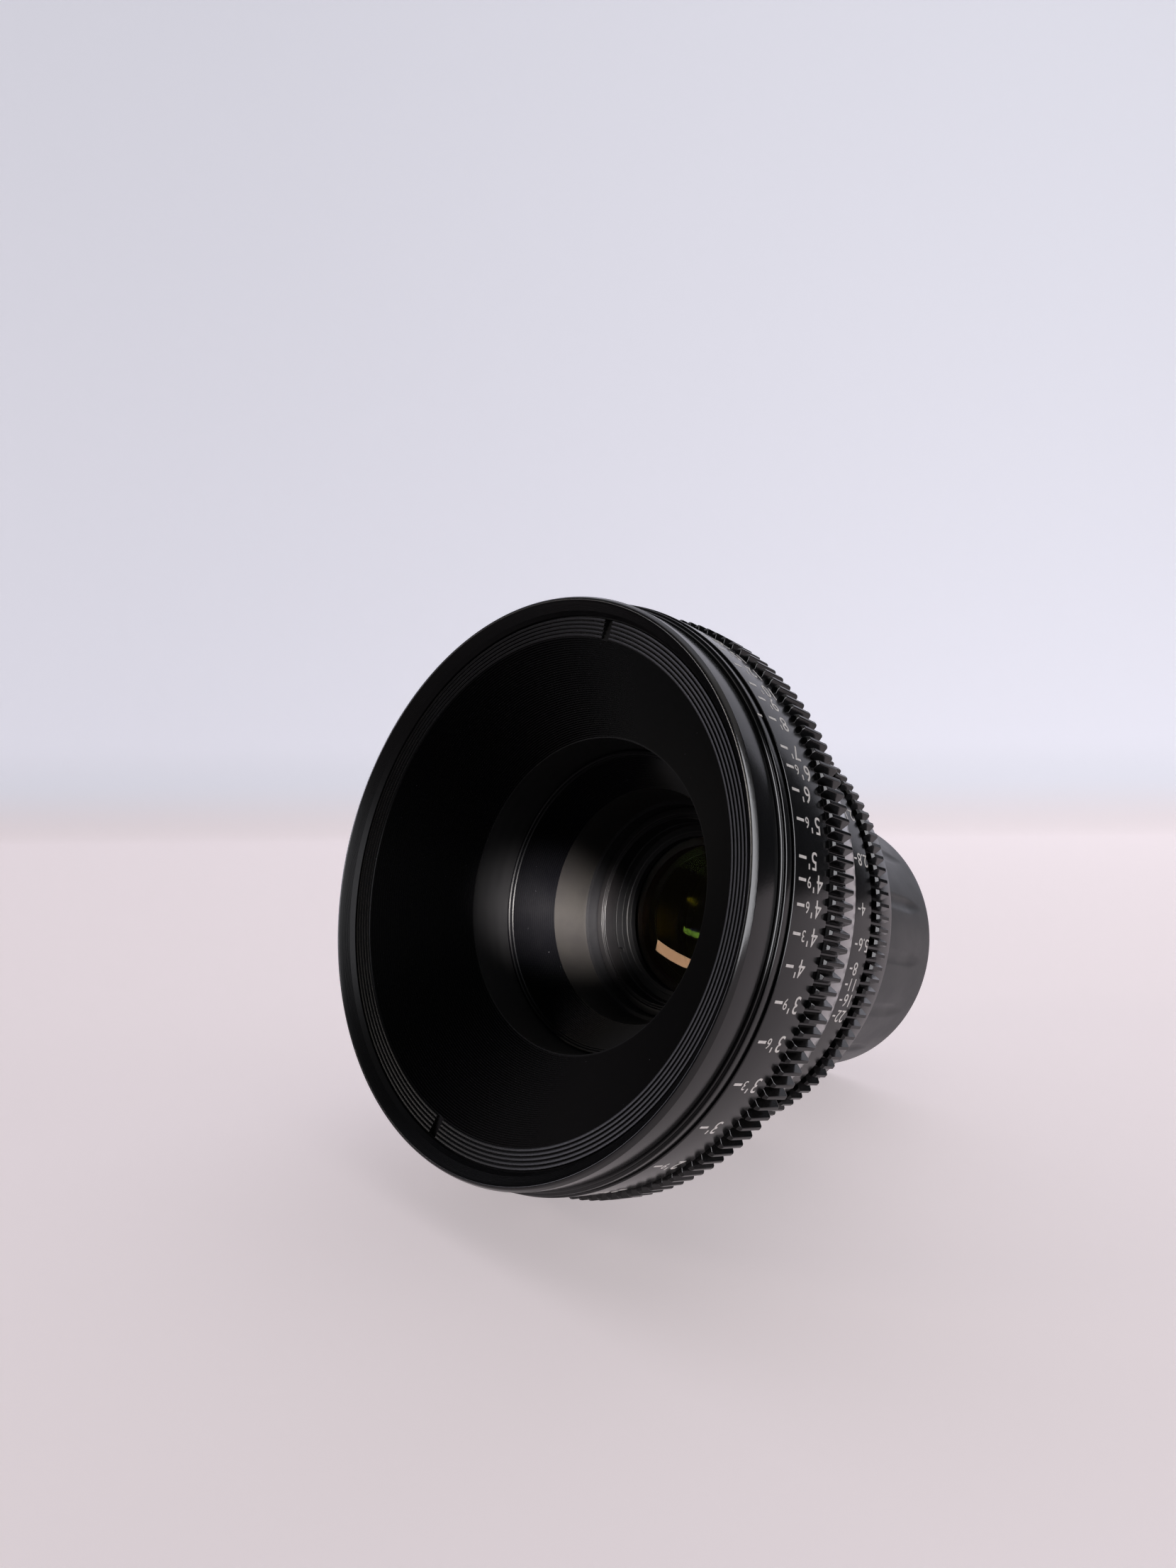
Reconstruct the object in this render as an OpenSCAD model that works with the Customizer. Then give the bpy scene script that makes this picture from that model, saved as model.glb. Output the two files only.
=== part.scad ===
// Cinema prime lens with a locking bayonet mount, turned geared rings, a helical-groove focus drive
// and a fourteen-blade iris. Millimetres. The optical axis is Y, the front faces -Y, and the origin
// lies on the axis in the seat face of the mount.

/* [Overall] */
// Diameter of the front ring, where a matte box clamps
front_d = 114; // [110:0.5:122]
// Gap between a turning ring and its fixed neighbours
ring_gap = 0.3; // [0.2:0.05:0.5]
// Radial clearance of a running fit
run_fit = 0.05; // [0.02:0.01:0.08]
// Clearance between pieces that are screwed or pressed together
seat_fit = 0.03; // [0.02:0.01:0.05]

/* [Front] */
// Width of the land that a matte box clamps
land_w = 6.7; // [6:0.1:8]
// Width of the front ring's face, from the filter thread to the outside
rim_w = 4.5; // [4:0.1:6]
// Depth of the filter thread
filter_depth = 3; // [2.5:0.1:3.5]
// Radius of the rim's worn outer edge
rim_round = 0.6; // [0.3:0.1:1]
// Width of the fixed index ring
index_w = 2.3; // [2:0.1:3]
// Height that the index ring stands above the land
index_proud = 1; // [0.6:0.1:1.4]
// Step from the land down to the carrier tube behind the front ring
carrier_step = 3.5; // [3:0.1:3.8]
// Wall of the carrier tube
carrier_wall = 2.5; // [2:0.1:2.5]
// Thickness of the carrier's rear disc
carrier_disc_t = 2.5; // [2:0.1:3]

/* [Baffle] */
// Width of the grooved annulus inside the filter thread
annulus_w = 2.7; // [2:0.1:3.5]
// Length of the ribbed cone along the axis
baffle_cone_len = 16.4; // [15:0.2:17]
// Length of the smooth band
baffle_band_len = 11.5; // [10.5:0.1:12]
// Wall of the baffle
baffle_wall = 1.3; // [1:0.1:1.4]
// Thickness of the baffle's seat flange
baffle_flange_t = 1.4; // [1.2:0.1:1.8]
// Fall of the grooved annulus from its outer to its inner edge
annulus_fall = 0.6; // [0.3:0.1:0.8]
// Number of ribs down the cone
baffle_ribs = 46; // [30:1:56]
// Number of grooves on the annulus
annulus_ribs = 7; // [3:1:9]
// Depth of the ribs
rib_depth = 0.26; // [0.15:0.01:0.35]
// Width of the two spanner slots
spanner_w = 2; // [1.5:0.1:2.5]
// Depth of the two spanner slots
spanner_depth = 0.9; // [0.6:0.1:1]
// Clock angle of the spanner slots
spanner_clock = 80; // [0:1:180]

/* [Focus ring] */
// Height that the focus scale stands above the land
focus_proud = 1.4; // [1:0.1:2]
// Width of the focus scale
focus_scale_w = 10.8; // [10:0.1:12]
// Module of both gear rings
gear_module = 0.8; // [0.76:0.01:0.84]
// Width of the focus gear
focus_gear_w = 6.5; // [6:0.1:7.5]
// Rim thickness under the roots of the focus gear
focus_gear_rim = 1.4; // [1.2:0.1:1.6]
// Chamfer on the front ends of the teeth
tooth_chamfer = 0.5; // [0.3:0.05:0.8]
// Thickness of the focus ring's inner flange, and of the sleeve's flange
focus_flange_t = 1.75; // [1.6:0.05:1.8]
// Step from the focus ring's bore down to the edge of the sleeve's flange
flange_step = 2.4; // [2.2:0.1:2.5]
// Distance of the focus ring's screws from the edge of the sleeve's flange
focus_screw_edge = 1.7; // [1.6:0.05:1.75]
// Focus turn from rest to the far stop, degrees
focus_far = 39; // [30:1:45]
// Focus turn from rest to the near stop, degrees
focus_near = 225; // [200:1:230]

/* [Helical drive] */
// Axial travel per turn of the focus ring
lead = 9.75; // [9:0.05:10]
// Number of followers and helical grooves
starts = 3; // [2:1:3]
// Diameter of a follower pin
follower_d = 2; // [1.8:0.1:2.1]
// Step from the land down to the moving lens barrel
barrel_step = 21; // [20.6:0.1:21.4]
// Wall of the moving barrel around the baffle
guard_wall = 1.6; // [1.4:0.1:1.8]
// Wall of the guide barrel
guide_wall = 2.45; // [2.2:0.05:2.5]
// Wall of the grooved sleeve
sleeve_wall = 4.4; // [4:0.1:4.6]
// Depth of the helical grooves
groove_depth = 2.9; // [2.6:0.1:3.1]

/* [Cone ring] */
// Step from the focus scale down to the cone ring's front edge
cone_inset = 1.4; // [0.6:0.1:2]
// Width of the cone ring
cone_w = 13.3; // [12.5:0.1:14]
// Rise of the cone ring's rear edge above the seat that the iris ring turns on
cone_rise = 8.6; // [7.5:0.1:9.5]
// Wall of the cone ring
cone_wall = 2.4; // [1.8:0.1:2.8]
// Length of the cone ring's threaded skirt
skirt_len = 3.2; // [2.6:0.1:3.6]

/* [Iris ring] */
// Rise of the iris scale above the ring's seat
iris_rise = 3.1; // [2.8:0.1:4.2]
// Width of the iris scale
iris_scale_w = 16.1; // [15.5:0.1:16.5]
// Width of the iris gear
iris_gear_w = 5.6; // [5:0.1:6]
// Rim thickness under the roots of the iris gear
iris_gear_rim = 1.2; // [1:0.1:1.3]
// Wall of the rear barrel under the seat that the iris ring turns on
iris_seat_wall = 3.52; // [3.3:0.02:3.8]
// Turn of the iris ring from open to closed, degrees
iris_turn = 46; // [40:1:48]
// Diameter of the pin that drives the iris
drive_pin_d = 3; // [2.6:0.1:3.2]
// Distance of the drive pin from the iris gear
drive_pin_room = 3.6; // [3.2:0.1:3.8]
// Clock angle of the drive pin at rest, between two of the cam's slots
drive_clock = 257; // [255:1:259]

/* [Iris] */
// Number of iris blades
blades = 14; // [14:1:14]
// Gap between the iris housing and the pilot's bore
housing_gap = 0.8; // [0.6:0.1:1]
// Wall of the iris housing
housing_wall = 1.6; // [1.4:0.1:1.7]
// Width of a blade
blade_w = 3.6; // [3.3:0.1:3.7]
// Thickness of a blade
blade_t = 0.12; // [0.08:0.01:0.14]
// Step from one blade's level to the next
blade_step = 0.25; // [0.22:0.01:0.25]
// Arc covered by a blade, degrees
blade_arc = 100; // [95:1:104]
// Distance of the blade pivots from the housing's wall
pivot_inset = 5.3; // [5.2:0.1:5.5]
// Distance of an open blade's edge from the pivots
blade_inset = 1.7; // [1.5:0.1:1.8]
// Distance from a blade's pivot to its drive pin
crank = 6; // [5.6:0.1:6.1]
// Angle of the crank to the radius at rest, degrees
crank_lean = 52; // [50:1:54]
// Turn of a blade from open to closed, degrees
blade_turn = 36.5; // [34:0.5:37]
// Radius of a blade's pivot pin
pivot_pin_r = 0.5; // [0.4:0.05:0.55]
// Radius of a blade's drive pin
crank_pin_r = 0.35; // [0.3:0.05:0.4]
// Width of the cam ring's slots
cam_slot_w = 1.1; // [1:0.05:1.15]
// Thickness of the cam ring
cam_t = 1.2; // [1:0.05:1.2]

/* [Mount] */
// Diameter of the mount's pilot
pilot_d = 54; // [49:0.5:58]
// Length of the pilot behind the seat face
pilot_len = 28; // [26:0.5:28.5]
// Wall of the pilot
pilot_wall = 2; // [1.6:0.1:2]
// Height of the four bayonet tabs above the neck
tab_rise = 3.8; // [3:0.1:4]
// Thickness of the tabs
tab_t = 2.6; // [2.4:0.1:2.8]
// Arc of one tab, degrees
tab_arc = 50; // [40:1:56]
// Wall of the neck in front of the tabs
neck_wall = 1.7; // [1.5:0.1:2.2]
// Length of the neck, which the lock ring of a camera needs
neck_len = 4; // [3.8:0.1:4.2]
// Thickness of the mount's base
base_t = 2.4; // [2.2:0.1:2.6]
// Distance of the mount screws from the neck
mount_screw_room = 3; // [2.8:0.1:3.4]
// Distance of the base's edge from the mount screws
base_edge = 2.8; // [2.6:0.1:3.2]
// Thickness of the shim under the base
shim_t = 0.3; // [0.2:0.05:0.4]
// Number of mount screws, which lie in the gaps between the tabs
mount_screw_count = 4; // [4:4:8]

/* [Rear barrel] */
// Width of the rear barrel behind the iris gear
rear_w = 8.2; // [7.6:0.1:10]
// Rise of the rear barrel above the iris ring's seat
rear_rise = 1.3; // [0.8:0.1:2]
// Taper of the rear barrel, on the radius
rear_taper = 0.8; // [0.4:0.1:1.4]
// Thickness of the rear barrel's end wall
end_wall_t = 5.7; // [5.5:0.1:6]

/* [Rear cap] */
// Distance from the pilot to the outside of the cap's closed end
cap_room = 5.5; // [5:0.1:6]
// Flare of the cap from its closed end to its mouth, on the radius
cap_flare = 1.9; // [1.4:0.1:2.4]
// Room between the end of the pilot and the cap's floor
cap_end_room = 2; // [1.5:0.25:4]
// Wall of the cap
cap_wall = 2.2; // [2:0.1:2.4]
// Number of grip flutes around the cap
cap_flutes = 16; // [8:1:20]
// Depth of a grip flute
flute_depth = 0.5; // [0.3:0.05:0.7]
// Radius of a grip flute
flute_r = 3.8; // [3:0.1:9]
// Number of grip ribs inside the cap
cap_ribs = 8; // [4:1:12]

/* [Hidden] */
$fn = 128;

anodised = "#1d1e20";
anodised_inner = "#141416";
plastic = "#4a4d50";
steel = "#b9bcc0";
glass = "#2c3a46";

// Heights h count from the mount's seat face towards the front
base_bottom = tab_t + neck_len;
base_top = base_bottom + base_t;
rear_end = base_top + shim_t;
rear_top = rear_end + rear_w;
iris_end = rear_top + ring_gap;
iris_gear_top = iris_end + iris_gear_w;
iris_top = iris_gear_top + iris_scale_w;
cone_end = iris_top + ring_gap;
cone_top = cone_end + cone_w;
focus_end = cone_top + ring_gap;
focus_gear_top = focus_end + focus_gear_w;
focus_top = focus_gear_top + focus_scale_w;
index_h = focus_top + ring_gap;
land_h = index_h + index_w;
rim_to_flange = land_h + land_w;

// Radii from the front ring inwards
land_chamfer = 0.2;
front_r = front_d / 2;
filter_r = front_r - rim_w;
carrier_r = front_r - carrier_step;
focus_r = front_r + focus_proud;
focus_teeth = round(2 * focus_r / gear_module) + 1;
cone_front_r = focus_r - cone_inset;

// Radii of the helical drive, from the moving barrel outwards
barrel_r = front_r - barrel_step;
guide_bore = barrel_r + run_fit;
guide_r = guide_bore + guide_wall;
sleeve_bore = guide_r + run_fit;
sleeve_r = sleeve_bore + sleeve_wall;
groove_r = sleeve_bore + groove_depth;
spigot_step = 1.45;
spigot_r = guide_r + spigot_step;
drive_pin_h = iris_gear_top + drive_pin_room;
spigot_h = drive_pin_h + drive_pin_d;
drive_pin_skin = 0.8;

// Rear barrel and iris ring
iris_seat_r = spigot_r + seat_fit + iris_seat_wall;
iris_bore = iris_seat_r + run_fit;
cone_rear_r = iris_seat_r + cone_rise;
iris_r = iris_seat_r + iris_rise;
iris_teeth = ceil(2 * iris_r / gear_module);
rear_r = iris_seat_r + rear_rise;
rear_edge_r = rear_r - rear_taper;
seat_top = iris_top;
spigot_ledge = 1.35;
barrel_inner_r = spigot_r - spigot_ledge;
skirt_bottom = seat_top - skirt_len;
skirt_wall = 1.6;
skirt_r = iris_bore + skirt_wall;

// Sleeve, followers and the flange of the focus ring
sleeve_bottom = seat_top + 2 * ring_gap + 0.2;
flange_bottom = focus_end + 0.1;
flange_split = flange_bottom + focus_flange_t;
flange_top = flange_split + focus_flange_t;
carrier_bottom = flange_top + ring_gap;
follower_h = sleeve_bottom + 1.6 + follower_d / 2 + lead * focus_far / 360;
near_travel = lead * focus_near / 360;
far_travel = lead * focus_far / 360;
carrier_bore = carrier_r - carrier_wall;
shell_gap = 0.5;
shell_bore = carrier_r + shell_gap;
sleeve_flange_r = shell_bore - flange_step;
focus_screw_at = sleeve_flange_r - focus_screw_edge;
stop_pin_r = 1.5;
stop_r = sleeve_r + 3;
stop_half = asin((stop_pin_r + 0.25) / stop_r);
stop_clock = 180;
focus_screw_r = 1;
focus_screw_head_r = 1.8;
focus_screw_count = 6;

// Baffle
baffle_seat = rim_to_flange - filter_depth - baffle_flange_t;
annulus_h = rim_to_flange - filter_depth;
mouth_h = annulus_h - annulus_fall;
throat_h = mouth_h - baffle_cone_len;
band_end = throat_h - baffle_band_len;
thread_end = annulus_h + 0.4;
mouth_r = filter_r - annulus_w;
guard_gap = 0.4;
guard_bore = barrel_r - guard_wall;
throat_r = guard_bore - guard_gap - baffle_wall;
cone_slope = (mouth_r - throat_r) / baffle_cone_len;
baffle_back_r = mouth_r + baffle_wall * sqrt(1 + cone_slope * cone_slope)
    - (mouth_h - baffle_seat) * cone_slope;

// Moving optical unit
barrel_top = follower_h + 4.3;
barrel_bottom = 8.2;
barrel_web = spigot_h;
barrel_web_t = 3;
pilot_r = pilot_d / 2;
pilot_bore = pilot_r - pilot_wall;
housing_r = pilot_bore - housing_gap;
housing_bore = housing_r - housing_wall;
cell_r = housing_r;
tube_bore = cell_r + run_fit;
tube_wall = 2.45;
tube_r = tube_bore + tube_wall;
hood_seat = barrel_web + 1;
hood_tube_step = 0.6;
hood_tube_r = tube_r + hood_tube_step;
hood_r = throat_r - 0.35;
hood_top = band_end + 1.5;
hood_cone_len = 9;
hood_wall = 1.2;
hood_throat_r = hood_tube_r - hood_wall;
hood_taper = 0.8;
hood_end_r = hood_throat_r - hood_taper;
hood_ribs = 22;
hood_lip = 0.4;
cell_wall = 2.55;
cell_bottom = 6.4;
cell_top = hood_seat - 2.9;

// Lens elements: [semi-diameter, front radius, rear radius, centre thickness, front vertex height]
// A positive radius is centred behind its surface, and a radius of zero is flat
lens_play = 0.05;
retainer_wall = 1.8;
front_semi = cell_r - cell_wall - retainer_wall - lens_play;
lens_data = [
    [front_semi, 46, 200, 4.6, 24.2],
    [16, 27, 70, 4.6, 19.1],
    [13.5, 90, 20, 1.4, 14],
    [12, -18.5, 0, 1.5, -4.8],
    [12, 0, -28, 5, -6.3],
    [13, -90, -36, 3.4, -11.8],
    [13, 120, -70, 3, -15.6]];
retainer_lip = 1.3;
retainer_t = 4;
retainer_slot = 1.5;
retainer_slot_w = 1.2;

// Iris
housing_floor = 1;
pivot_r = housing_bore - pivot_inset;
open_r = pivot_r - blade_inset - blade_w;
cam_bottom = 5;
cam_r = housing_bore - run_fit;
cam_bore = open_r + 1.2;
blade_bottom = housing_floor + blade_step;
fork_inner = tube_r + 0.3;
fork_outer = fork_inner + 2;
prong_w = 2.2;
fork_gap = drive_pin_d + 0.2;
fork_top = barrel_web - 0.4;
fork_half = asin((fork_gap / 2 + prong_w) / housing_bore);
pin_half = asin((drive_pin_d / 2 + 0.15) / barrel_inner_r);

// Rear group
rear_cell_step = 2;
rear_cell_flange_r = housing_r - 2.2;
rear_cell_r = rear_cell_flange_r - rear_cell_step;
rear_cell_flange_t = 1.2;
rear_cell_end = -19.6;

// Mount
neck_gap = 0.7;
neck_bore = fork_outer + neck_gap;
neck_r = neck_bore + neck_wall;
tab_r = neck_r + tab_rise;
mount_screw_at = neck_r + mount_screw_room;
mount_screw_clock = 45;
base_r = mount_screw_at + base_edge;
mount_screw_r = 1.25;
mount_head_r = 2.1;
mount_head_t = 1.2;
mount_screw_depth = 4.6;
tab_root_r = neck_r + 0.4;

// Cap
cap_gap = 0.25;
cap_floor_t = 2;
cap_end = -pilot_len - cap_end_room - cap_floor_t;
cap_len = -cap_gap - cap_end;
cap_end_r = pilot_r + cap_room;
cap_mouth_r = cap_end_r + cap_flare;
cap_edge = 0.4;
cap_rib_w = 1.6;
cap_grip_r = pilot_r + 0.75;
cap_draft = atan(cap_flare / cap_len);

// Local Z runs to the front, and local angles turn counter-clockwise as the front is seen
module axial() rotate([90, 0, 0]) children();
module turned(points) axial() rotate_extrude() polygon(points);
module tube(inner, outer, bottom, top)
    turned([[inner, bottom], [outer, bottom], [outer, top], [inner, top]]);
module sector(inner, outer, bottom, top, from, to)
    axial() rotate([0, 0, from]) rotate_extrude(angle = to - from)
        polygon([[inner, bottom], [outer, bottom], [outer, top], [inner, top]]);
// A round bar along the axis, at a radius and a clock angle
module bar(r, bottom, top, at_r, clock)
    axial() rotate([0, 0, clock]) translate([at_r, 0, bottom]) cylinder(r = r, h = top - bottom);
// A round bar along a radius, at a height and a clock angle
module spoke(r, inner, outer, h, clock)
    axial() rotate([0, 0, clock]) translate([inner, 0, h]) rotate([0, 90, 0])
        cylinder(r = r, h = outer - inner);

// Saw-toothed line of ribs from one profile point to another, cut to the given side
function ribbed(from, to, count, depth) =
    let (run = to - from, side = depth * [-run[1], run[0]] / norm(run))
    [for (i = [0:count - 1]) each [from + run * i / count, from + run * (i + 0.5) / count + side]];
// Quarter round from one angle to another about a centre
function arc(centre, r, from, to, steps = 4) =
    [for (i = [0:steps]) let (a = from + (to - from) * i / steps) centre + r * [cos(a), sin(a)]];

// Outline of a gear with straight-flanked teeth of 20 degrees pressure angle
function gear_tip(teeth) = gear_module * (teeth / 2 + 1);
function gear_root(teeth) = gear_module * (teeth / 2 - 1.25);
function gear_outline(teeth) =
    let (half = PI * gear_module / 4,
        tip_half = half - gear_module * tan(20),
        root_half = half + 1.25 * gear_module * tan(20),
        tip = gear_tip(teeth),
        root = gear_root(teeth))
    [for (i = [0:teeth - 1]) for (corner = [[root, -root_half], [tip, -tip_half],
        [tip, tip_half], [root, root_half]])
        let (a = i * 360 / teeth + corner[1] / corner[0] * 180 / PI) corner[0] * [cos(a), sin(a)]];

module gear_ring(teeth, bore, bottom, top) {
    tip = gear_tip(teeth);
    rear_chamfer = tooth_chamfer * 0.6;
    difference() {
        intersection() {
            axial() translate([0, 0, bottom]) linear_extrude(top - bottom) polygon(gear_outline(teeth));
            turned([[0, bottom], [tip - rear_chamfer, bottom], [tip, bottom + rear_chamfer],
                [tip, top - tooth_chamfer], [tip - tooth_chamfer, top], [0, top]]);
        }
        tube(0, bore, bottom - 1, top + 1);
    }
}

module rear_barrel() color(anodised) difference() {
    turned([[neck_r + 0.8, rear_end], [rear_edge_r - 0.8, rear_end], [rear_edge_r, rear_end + 0.8],
        [rear_r, rear_top], [iris_seat_r, rear_top], [iris_seat_r, seat_top],
        [spigot_r + seat_fit, seat_top], [spigot_r + seat_fit, spigot_h], [barrel_inner_r, spigot_h],
        [barrel_inner_r, rear_end + end_wall_t], [neck_r + 0.8, rear_end + end_wall_t]]);
    sector(barrel_inner_r - 1, iris_seat_r + 1, drive_pin_h - drive_pin_d / 2 - 0.15,
        drive_pin_h + drive_pin_d / 2 + 0.15, drive_clock - pin_half, drive_clock + iris_turn + pin_half);
    for (i = [0:mount_screw_count - 1])
        bar(mount_screw_r + seat_fit, rear_end - 1, rear_end + mount_screw_depth + 0.4,
            mount_screw_at, i * 360 / mount_screw_count + mount_screw_clock);
}

module cone_ring() color(anodised)
    turned([[iris_bore, skirt_bottom], [skirt_r - ring_gap, skirt_bottom], [skirt_r - ring_gap, cone_end],
        [cone_rear_r, cone_end], [cone_rear_r + 0.2, cone_end + 0.3],
        [cone_front_r, cone_top - 0.3], [cone_front_r - 0.3, cone_top],
        [cone_front_r - cone_wall, cone_top], [cone_rear_r - cone_wall, cone_end + cone_wall],
        [sleeve_r + 0.6, cone_end + cone_wall], [sleeve_r + 0.6, seat_top + ring_gap / 2],
        [iris_bore, seat_top + ring_gap / 2]]);

module guide_barrel() color(steel) difference() {
    turned([[guide_bore, spigot_h], [spigot_r, spigot_h], [spigot_r, seat_top], [guide_r, seat_top],
        [guide_r, carrier_bottom + carrier_disc_t], [guide_bore, carrier_bottom + carrier_disc_t]]);
    for (i = [0:starts - 1]) axial() rotate([0, 0, i * 360 / starts + 90]) {
        slot_w = follower_d + 2 * run_fit;
        translate([guide_bore - 1, -slot_w / 2, follower_h - far_travel - follower_d / 2 - 0.4])
            cube([guide_wall + 2, slot_w, near_travel + far_travel + follower_d + 0.8]);
    }
}

module front_carrier() color(anodised_inner) difference() {
    turned([[guide_r + seat_fit, carrier_bottom], [carrier_r, carrier_bottom], [carrier_r, baffle_seat],
        [carrier_bore, baffle_seat], [carrier_bore, carrier_bottom + carrier_disc_t],
        [guide_r + seat_fit, carrier_bottom + carrier_disc_t]]);
    bar(stop_pin_r + seat_fit, carrier_bottom - 1, carrier_bottom + carrier_disc_t + 1, stop_r, stop_clock);
}

module front_ring() color(anodised) {
    edge = front_r - rim_round;
    turned(concat([[carrier_r + seat_fit, land_h], [front_r - land_chamfer, land_h], [front_r, land_h + land_chamfer]],
        arc([edge, rim_to_flange - rim_round], rim_round, 0, 90),
        [[filter_r + 0.6, rim_to_flange], [filter_r, rim_to_flange - 0.6],
        [filter_r, thread_end], [carrier_r + seat_fit, thread_end]]));
}

module index_ring() color(anodised) {
    outer = front_r + index_proud;
    foot = front_r - 0.7;
    turned([[carrier_r + seat_fit, index_h], [outer, index_h], [outer, land_h - 0.7], [outer - 0.25, land_h - 0.45], [foot, land_h - 0.45], [foot, land_h],
        [carrier_r + seat_fit, land_h]]);
}

module baffle_cone() color(anodised_inner) difference() {
    flange_r = carrier_r;
    turned(concat(ribbed([flange_r, annulus_h], [mouth_r, mouth_h], annulus_ribs, rib_depth),
        ribbed([mouth_r, mouth_h], [throat_r, throat_h], baffle_ribs, rib_depth),
        [[throat_r, throat_h], [throat_r, band_end], [throat_r + baffle_wall, band_end],
        [throat_r + baffle_wall, baffle_seat - (baffle_back_r - throat_r - baffle_wall) / cone_slope],
        [baffle_back_r, baffle_seat], [flange_r, baffle_seat]]));
    for (side = [0, 180]) axial() rotate([0, 0, spanner_clock + side])
        translate([mouth_r - 0.4, -spanner_w / 2, annulus_h - spanner_depth])
            cube([flange_r - mouth_r + 1, spanner_w, spanner_depth + 1]);
}

module focus_stop_pin() color(steel)
    bar(stop_pin_r, flange_split + ring_gap, carrier_bottom + carrier_disc_t, stop_r, stop_clock);

module mount_flange() color(steel) difference() {
    turned([[pilot_bore, -pilot_len], [pilot_r - 0.6, -pilot_len], [pilot_r, 0.6 - pilot_len], [pilot_r, 0],
        [tab_r, 0], [tab_r, tab_t], [neck_r, tab_t], [neck_r, base_bottom], [base_r, base_bottom],
        [base_r, base_top], [neck_bore, base_top], [neck_bore, tab_t], [pilot_bore, tab_t]]);
    for (i = [0:3])
        sector(tab_root_r, tab_r + 1, -1, tab_t + 1, i * 90 + tab_arc / 2, (i + 1) * 90 - tab_arc / 2);
    for (i = [0:mount_screw_count - 1]) {
        clock = i * 360 / mount_screw_count + mount_screw_clock;
        bar(mount_screw_r + seat_fit, base_bottom - 1, base_top + 1, mount_screw_at, clock);
        bar(mount_head_r + seat_fit, base_bottom - 1, base_bottom + mount_head_t, mount_screw_at, clock);
    }
}

module mount_shim() color(steel) difference() {
    tube(neck_r + 0.8, base_r, base_top, rear_end);
    for (i = [0:mount_screw_count - 1])
        bar(mount_screw_r + 2 * seat_fit, base_top - 1, rear_end + 1, mount_screw_at,
            i * 360 / mount_screw_count + mount_screw_clock);
}

module mount_screws() color(steel) for (i = [0:mount_screw_count - 1]) difference() {
    clock = i * 360 / mount_screw_count + mount_screw_clock;
    union() {
        bar(mount_head_r, base_bottom, base_bottom + mount_head_t, mount_screw_at, clock);
        bar(mount_screw_r, base_bottom, rear_end + mount_screw_depth, mount_screw_at, clock);
    }
    axial() rotate([0, 0, clock]) translate([mount_screw_at - 1.5, -0.25, base_bottom - 1])
        cube([3, 0.5, 1.6]);
}

module focus_scale_ring() color(anodised) {
    gear_seat = gear_root(focus_teeth) - focus_gear_rim;
    outer = focus_r;
    stop_outer = stop_r + stop_pin_r + 0.5;
    difference() {
        union() {
            turned([[shell_bore, flange_top], [shell_bore, focus_top], [outer - 0.3, focus_top],
                [outer, focus_top - 0.3], [outer, focus_gear_top + 0.2], [outer - 0.2, focus_gear_top],
                [gear_seat, focus_gear_top], [gear_seat, focus_end], [sleeve_flange_r + 0.2, focus_end],
                [sleeve_flange_r + 0.2, flange_split], [stop_outer, flange_split], [stop_outer, flange_top]]);
            sector(sleeve_r + 1, stop_outer + 1, flange_split, flange_top,
                stop_clock - 360 + focus_far + stop_half, stop_clock - focus_near - stop_half);
        }
        for (i = [0:focus_screw_count - 1]) {
            clock = i * 360 / focus_screw_count;
            bar(focus_screw_r + seat_fit, flange_split - 1, flange_top + 1, focus_screw_at, clock);
            bar(focus_screw_head_r + seat_fit, flange_split + 0.8, flange_top + 1, focus_screw_at, clock);
        }
    }
}

module focus_gear() color(anodised)
    gear_ring(focus_teeth, gear_root(focus_teeth) - focus_gear_rim + seat_fit, focus_end, focus_gear_top);

// One helical groove, as the followers cut it when the focus ring turns through its range
module helical_groove(clock) {
    over = 3;
    step = 9;
    steps = ceil((focus_near + focus_far + 2 * over) / step);
    half = follower_d / 2 + 0.15;
    rings = [for (i = [0:steps])
        let (turn = -focus_far - over + (focus_near + focus_far + 2 * over) * i / steps,
            h = follower_h + lead * turn / 360, a = clock - turn)
        for (p = [[sleeve_bore - 1, h - half], [groove_r, h - half], [groove_r, h + half],
            [sleeve_bore - 1, h + half]]) [p[0] * cos(a), p[0] * sin(a), p[1]]];
    sides = [for (i = [0:steps - 1]) for (k = [0:3])
        let (p = 4 * i + k, q = 4 * i + (k + 1) % 4) each [[p, q + 4, q], [p, p + 4, q + 4]]];
    last = 4 * steps;
    axial() polyhedron(rings, concat(sides, [[0, 1, 2], [0, 2, 3],
        [last, last + 2, last + 1], [last, last + 3, last + 2]]));
}

module helicoid_sleeve() color("#9a7b45") difference() {
    turned([[sleeve_bore, sleeve_bottom], [sleeve_r, sleeve_bottom], [sleeve_r, flange_bottom],
        [sleeve_flange_r, flange_bottom], [sleeve_flange_r, flange_split], [sleeve_r, flange_split],
        [sleeve_r, flange_top], [sleeve_bore, flange_top]]);
    for (i = [0:starts - 1]) helical_groove(i * 360 / starts + 90);
    for (i = [0:focus_screw_count - 1])
        bar(focus_screw_r + seat_fit, flange_bottom - 1, flange_split + 1, focus_screw_at,
            i * 360 / focus_screw_count);
}

module focus_screws() color(steel) for (i = [0:focus_screw_count - 1]) {
    clock = i * 360 / focus_screw_count;
    bar(focus_screw_r, flange_bottom, flange_split + 0.9, focus_screw_at, clock);
    bar(focus_screw_head_r, flange_split + 0.8, flange_top, focus_screw_at, clock);
}

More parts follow.
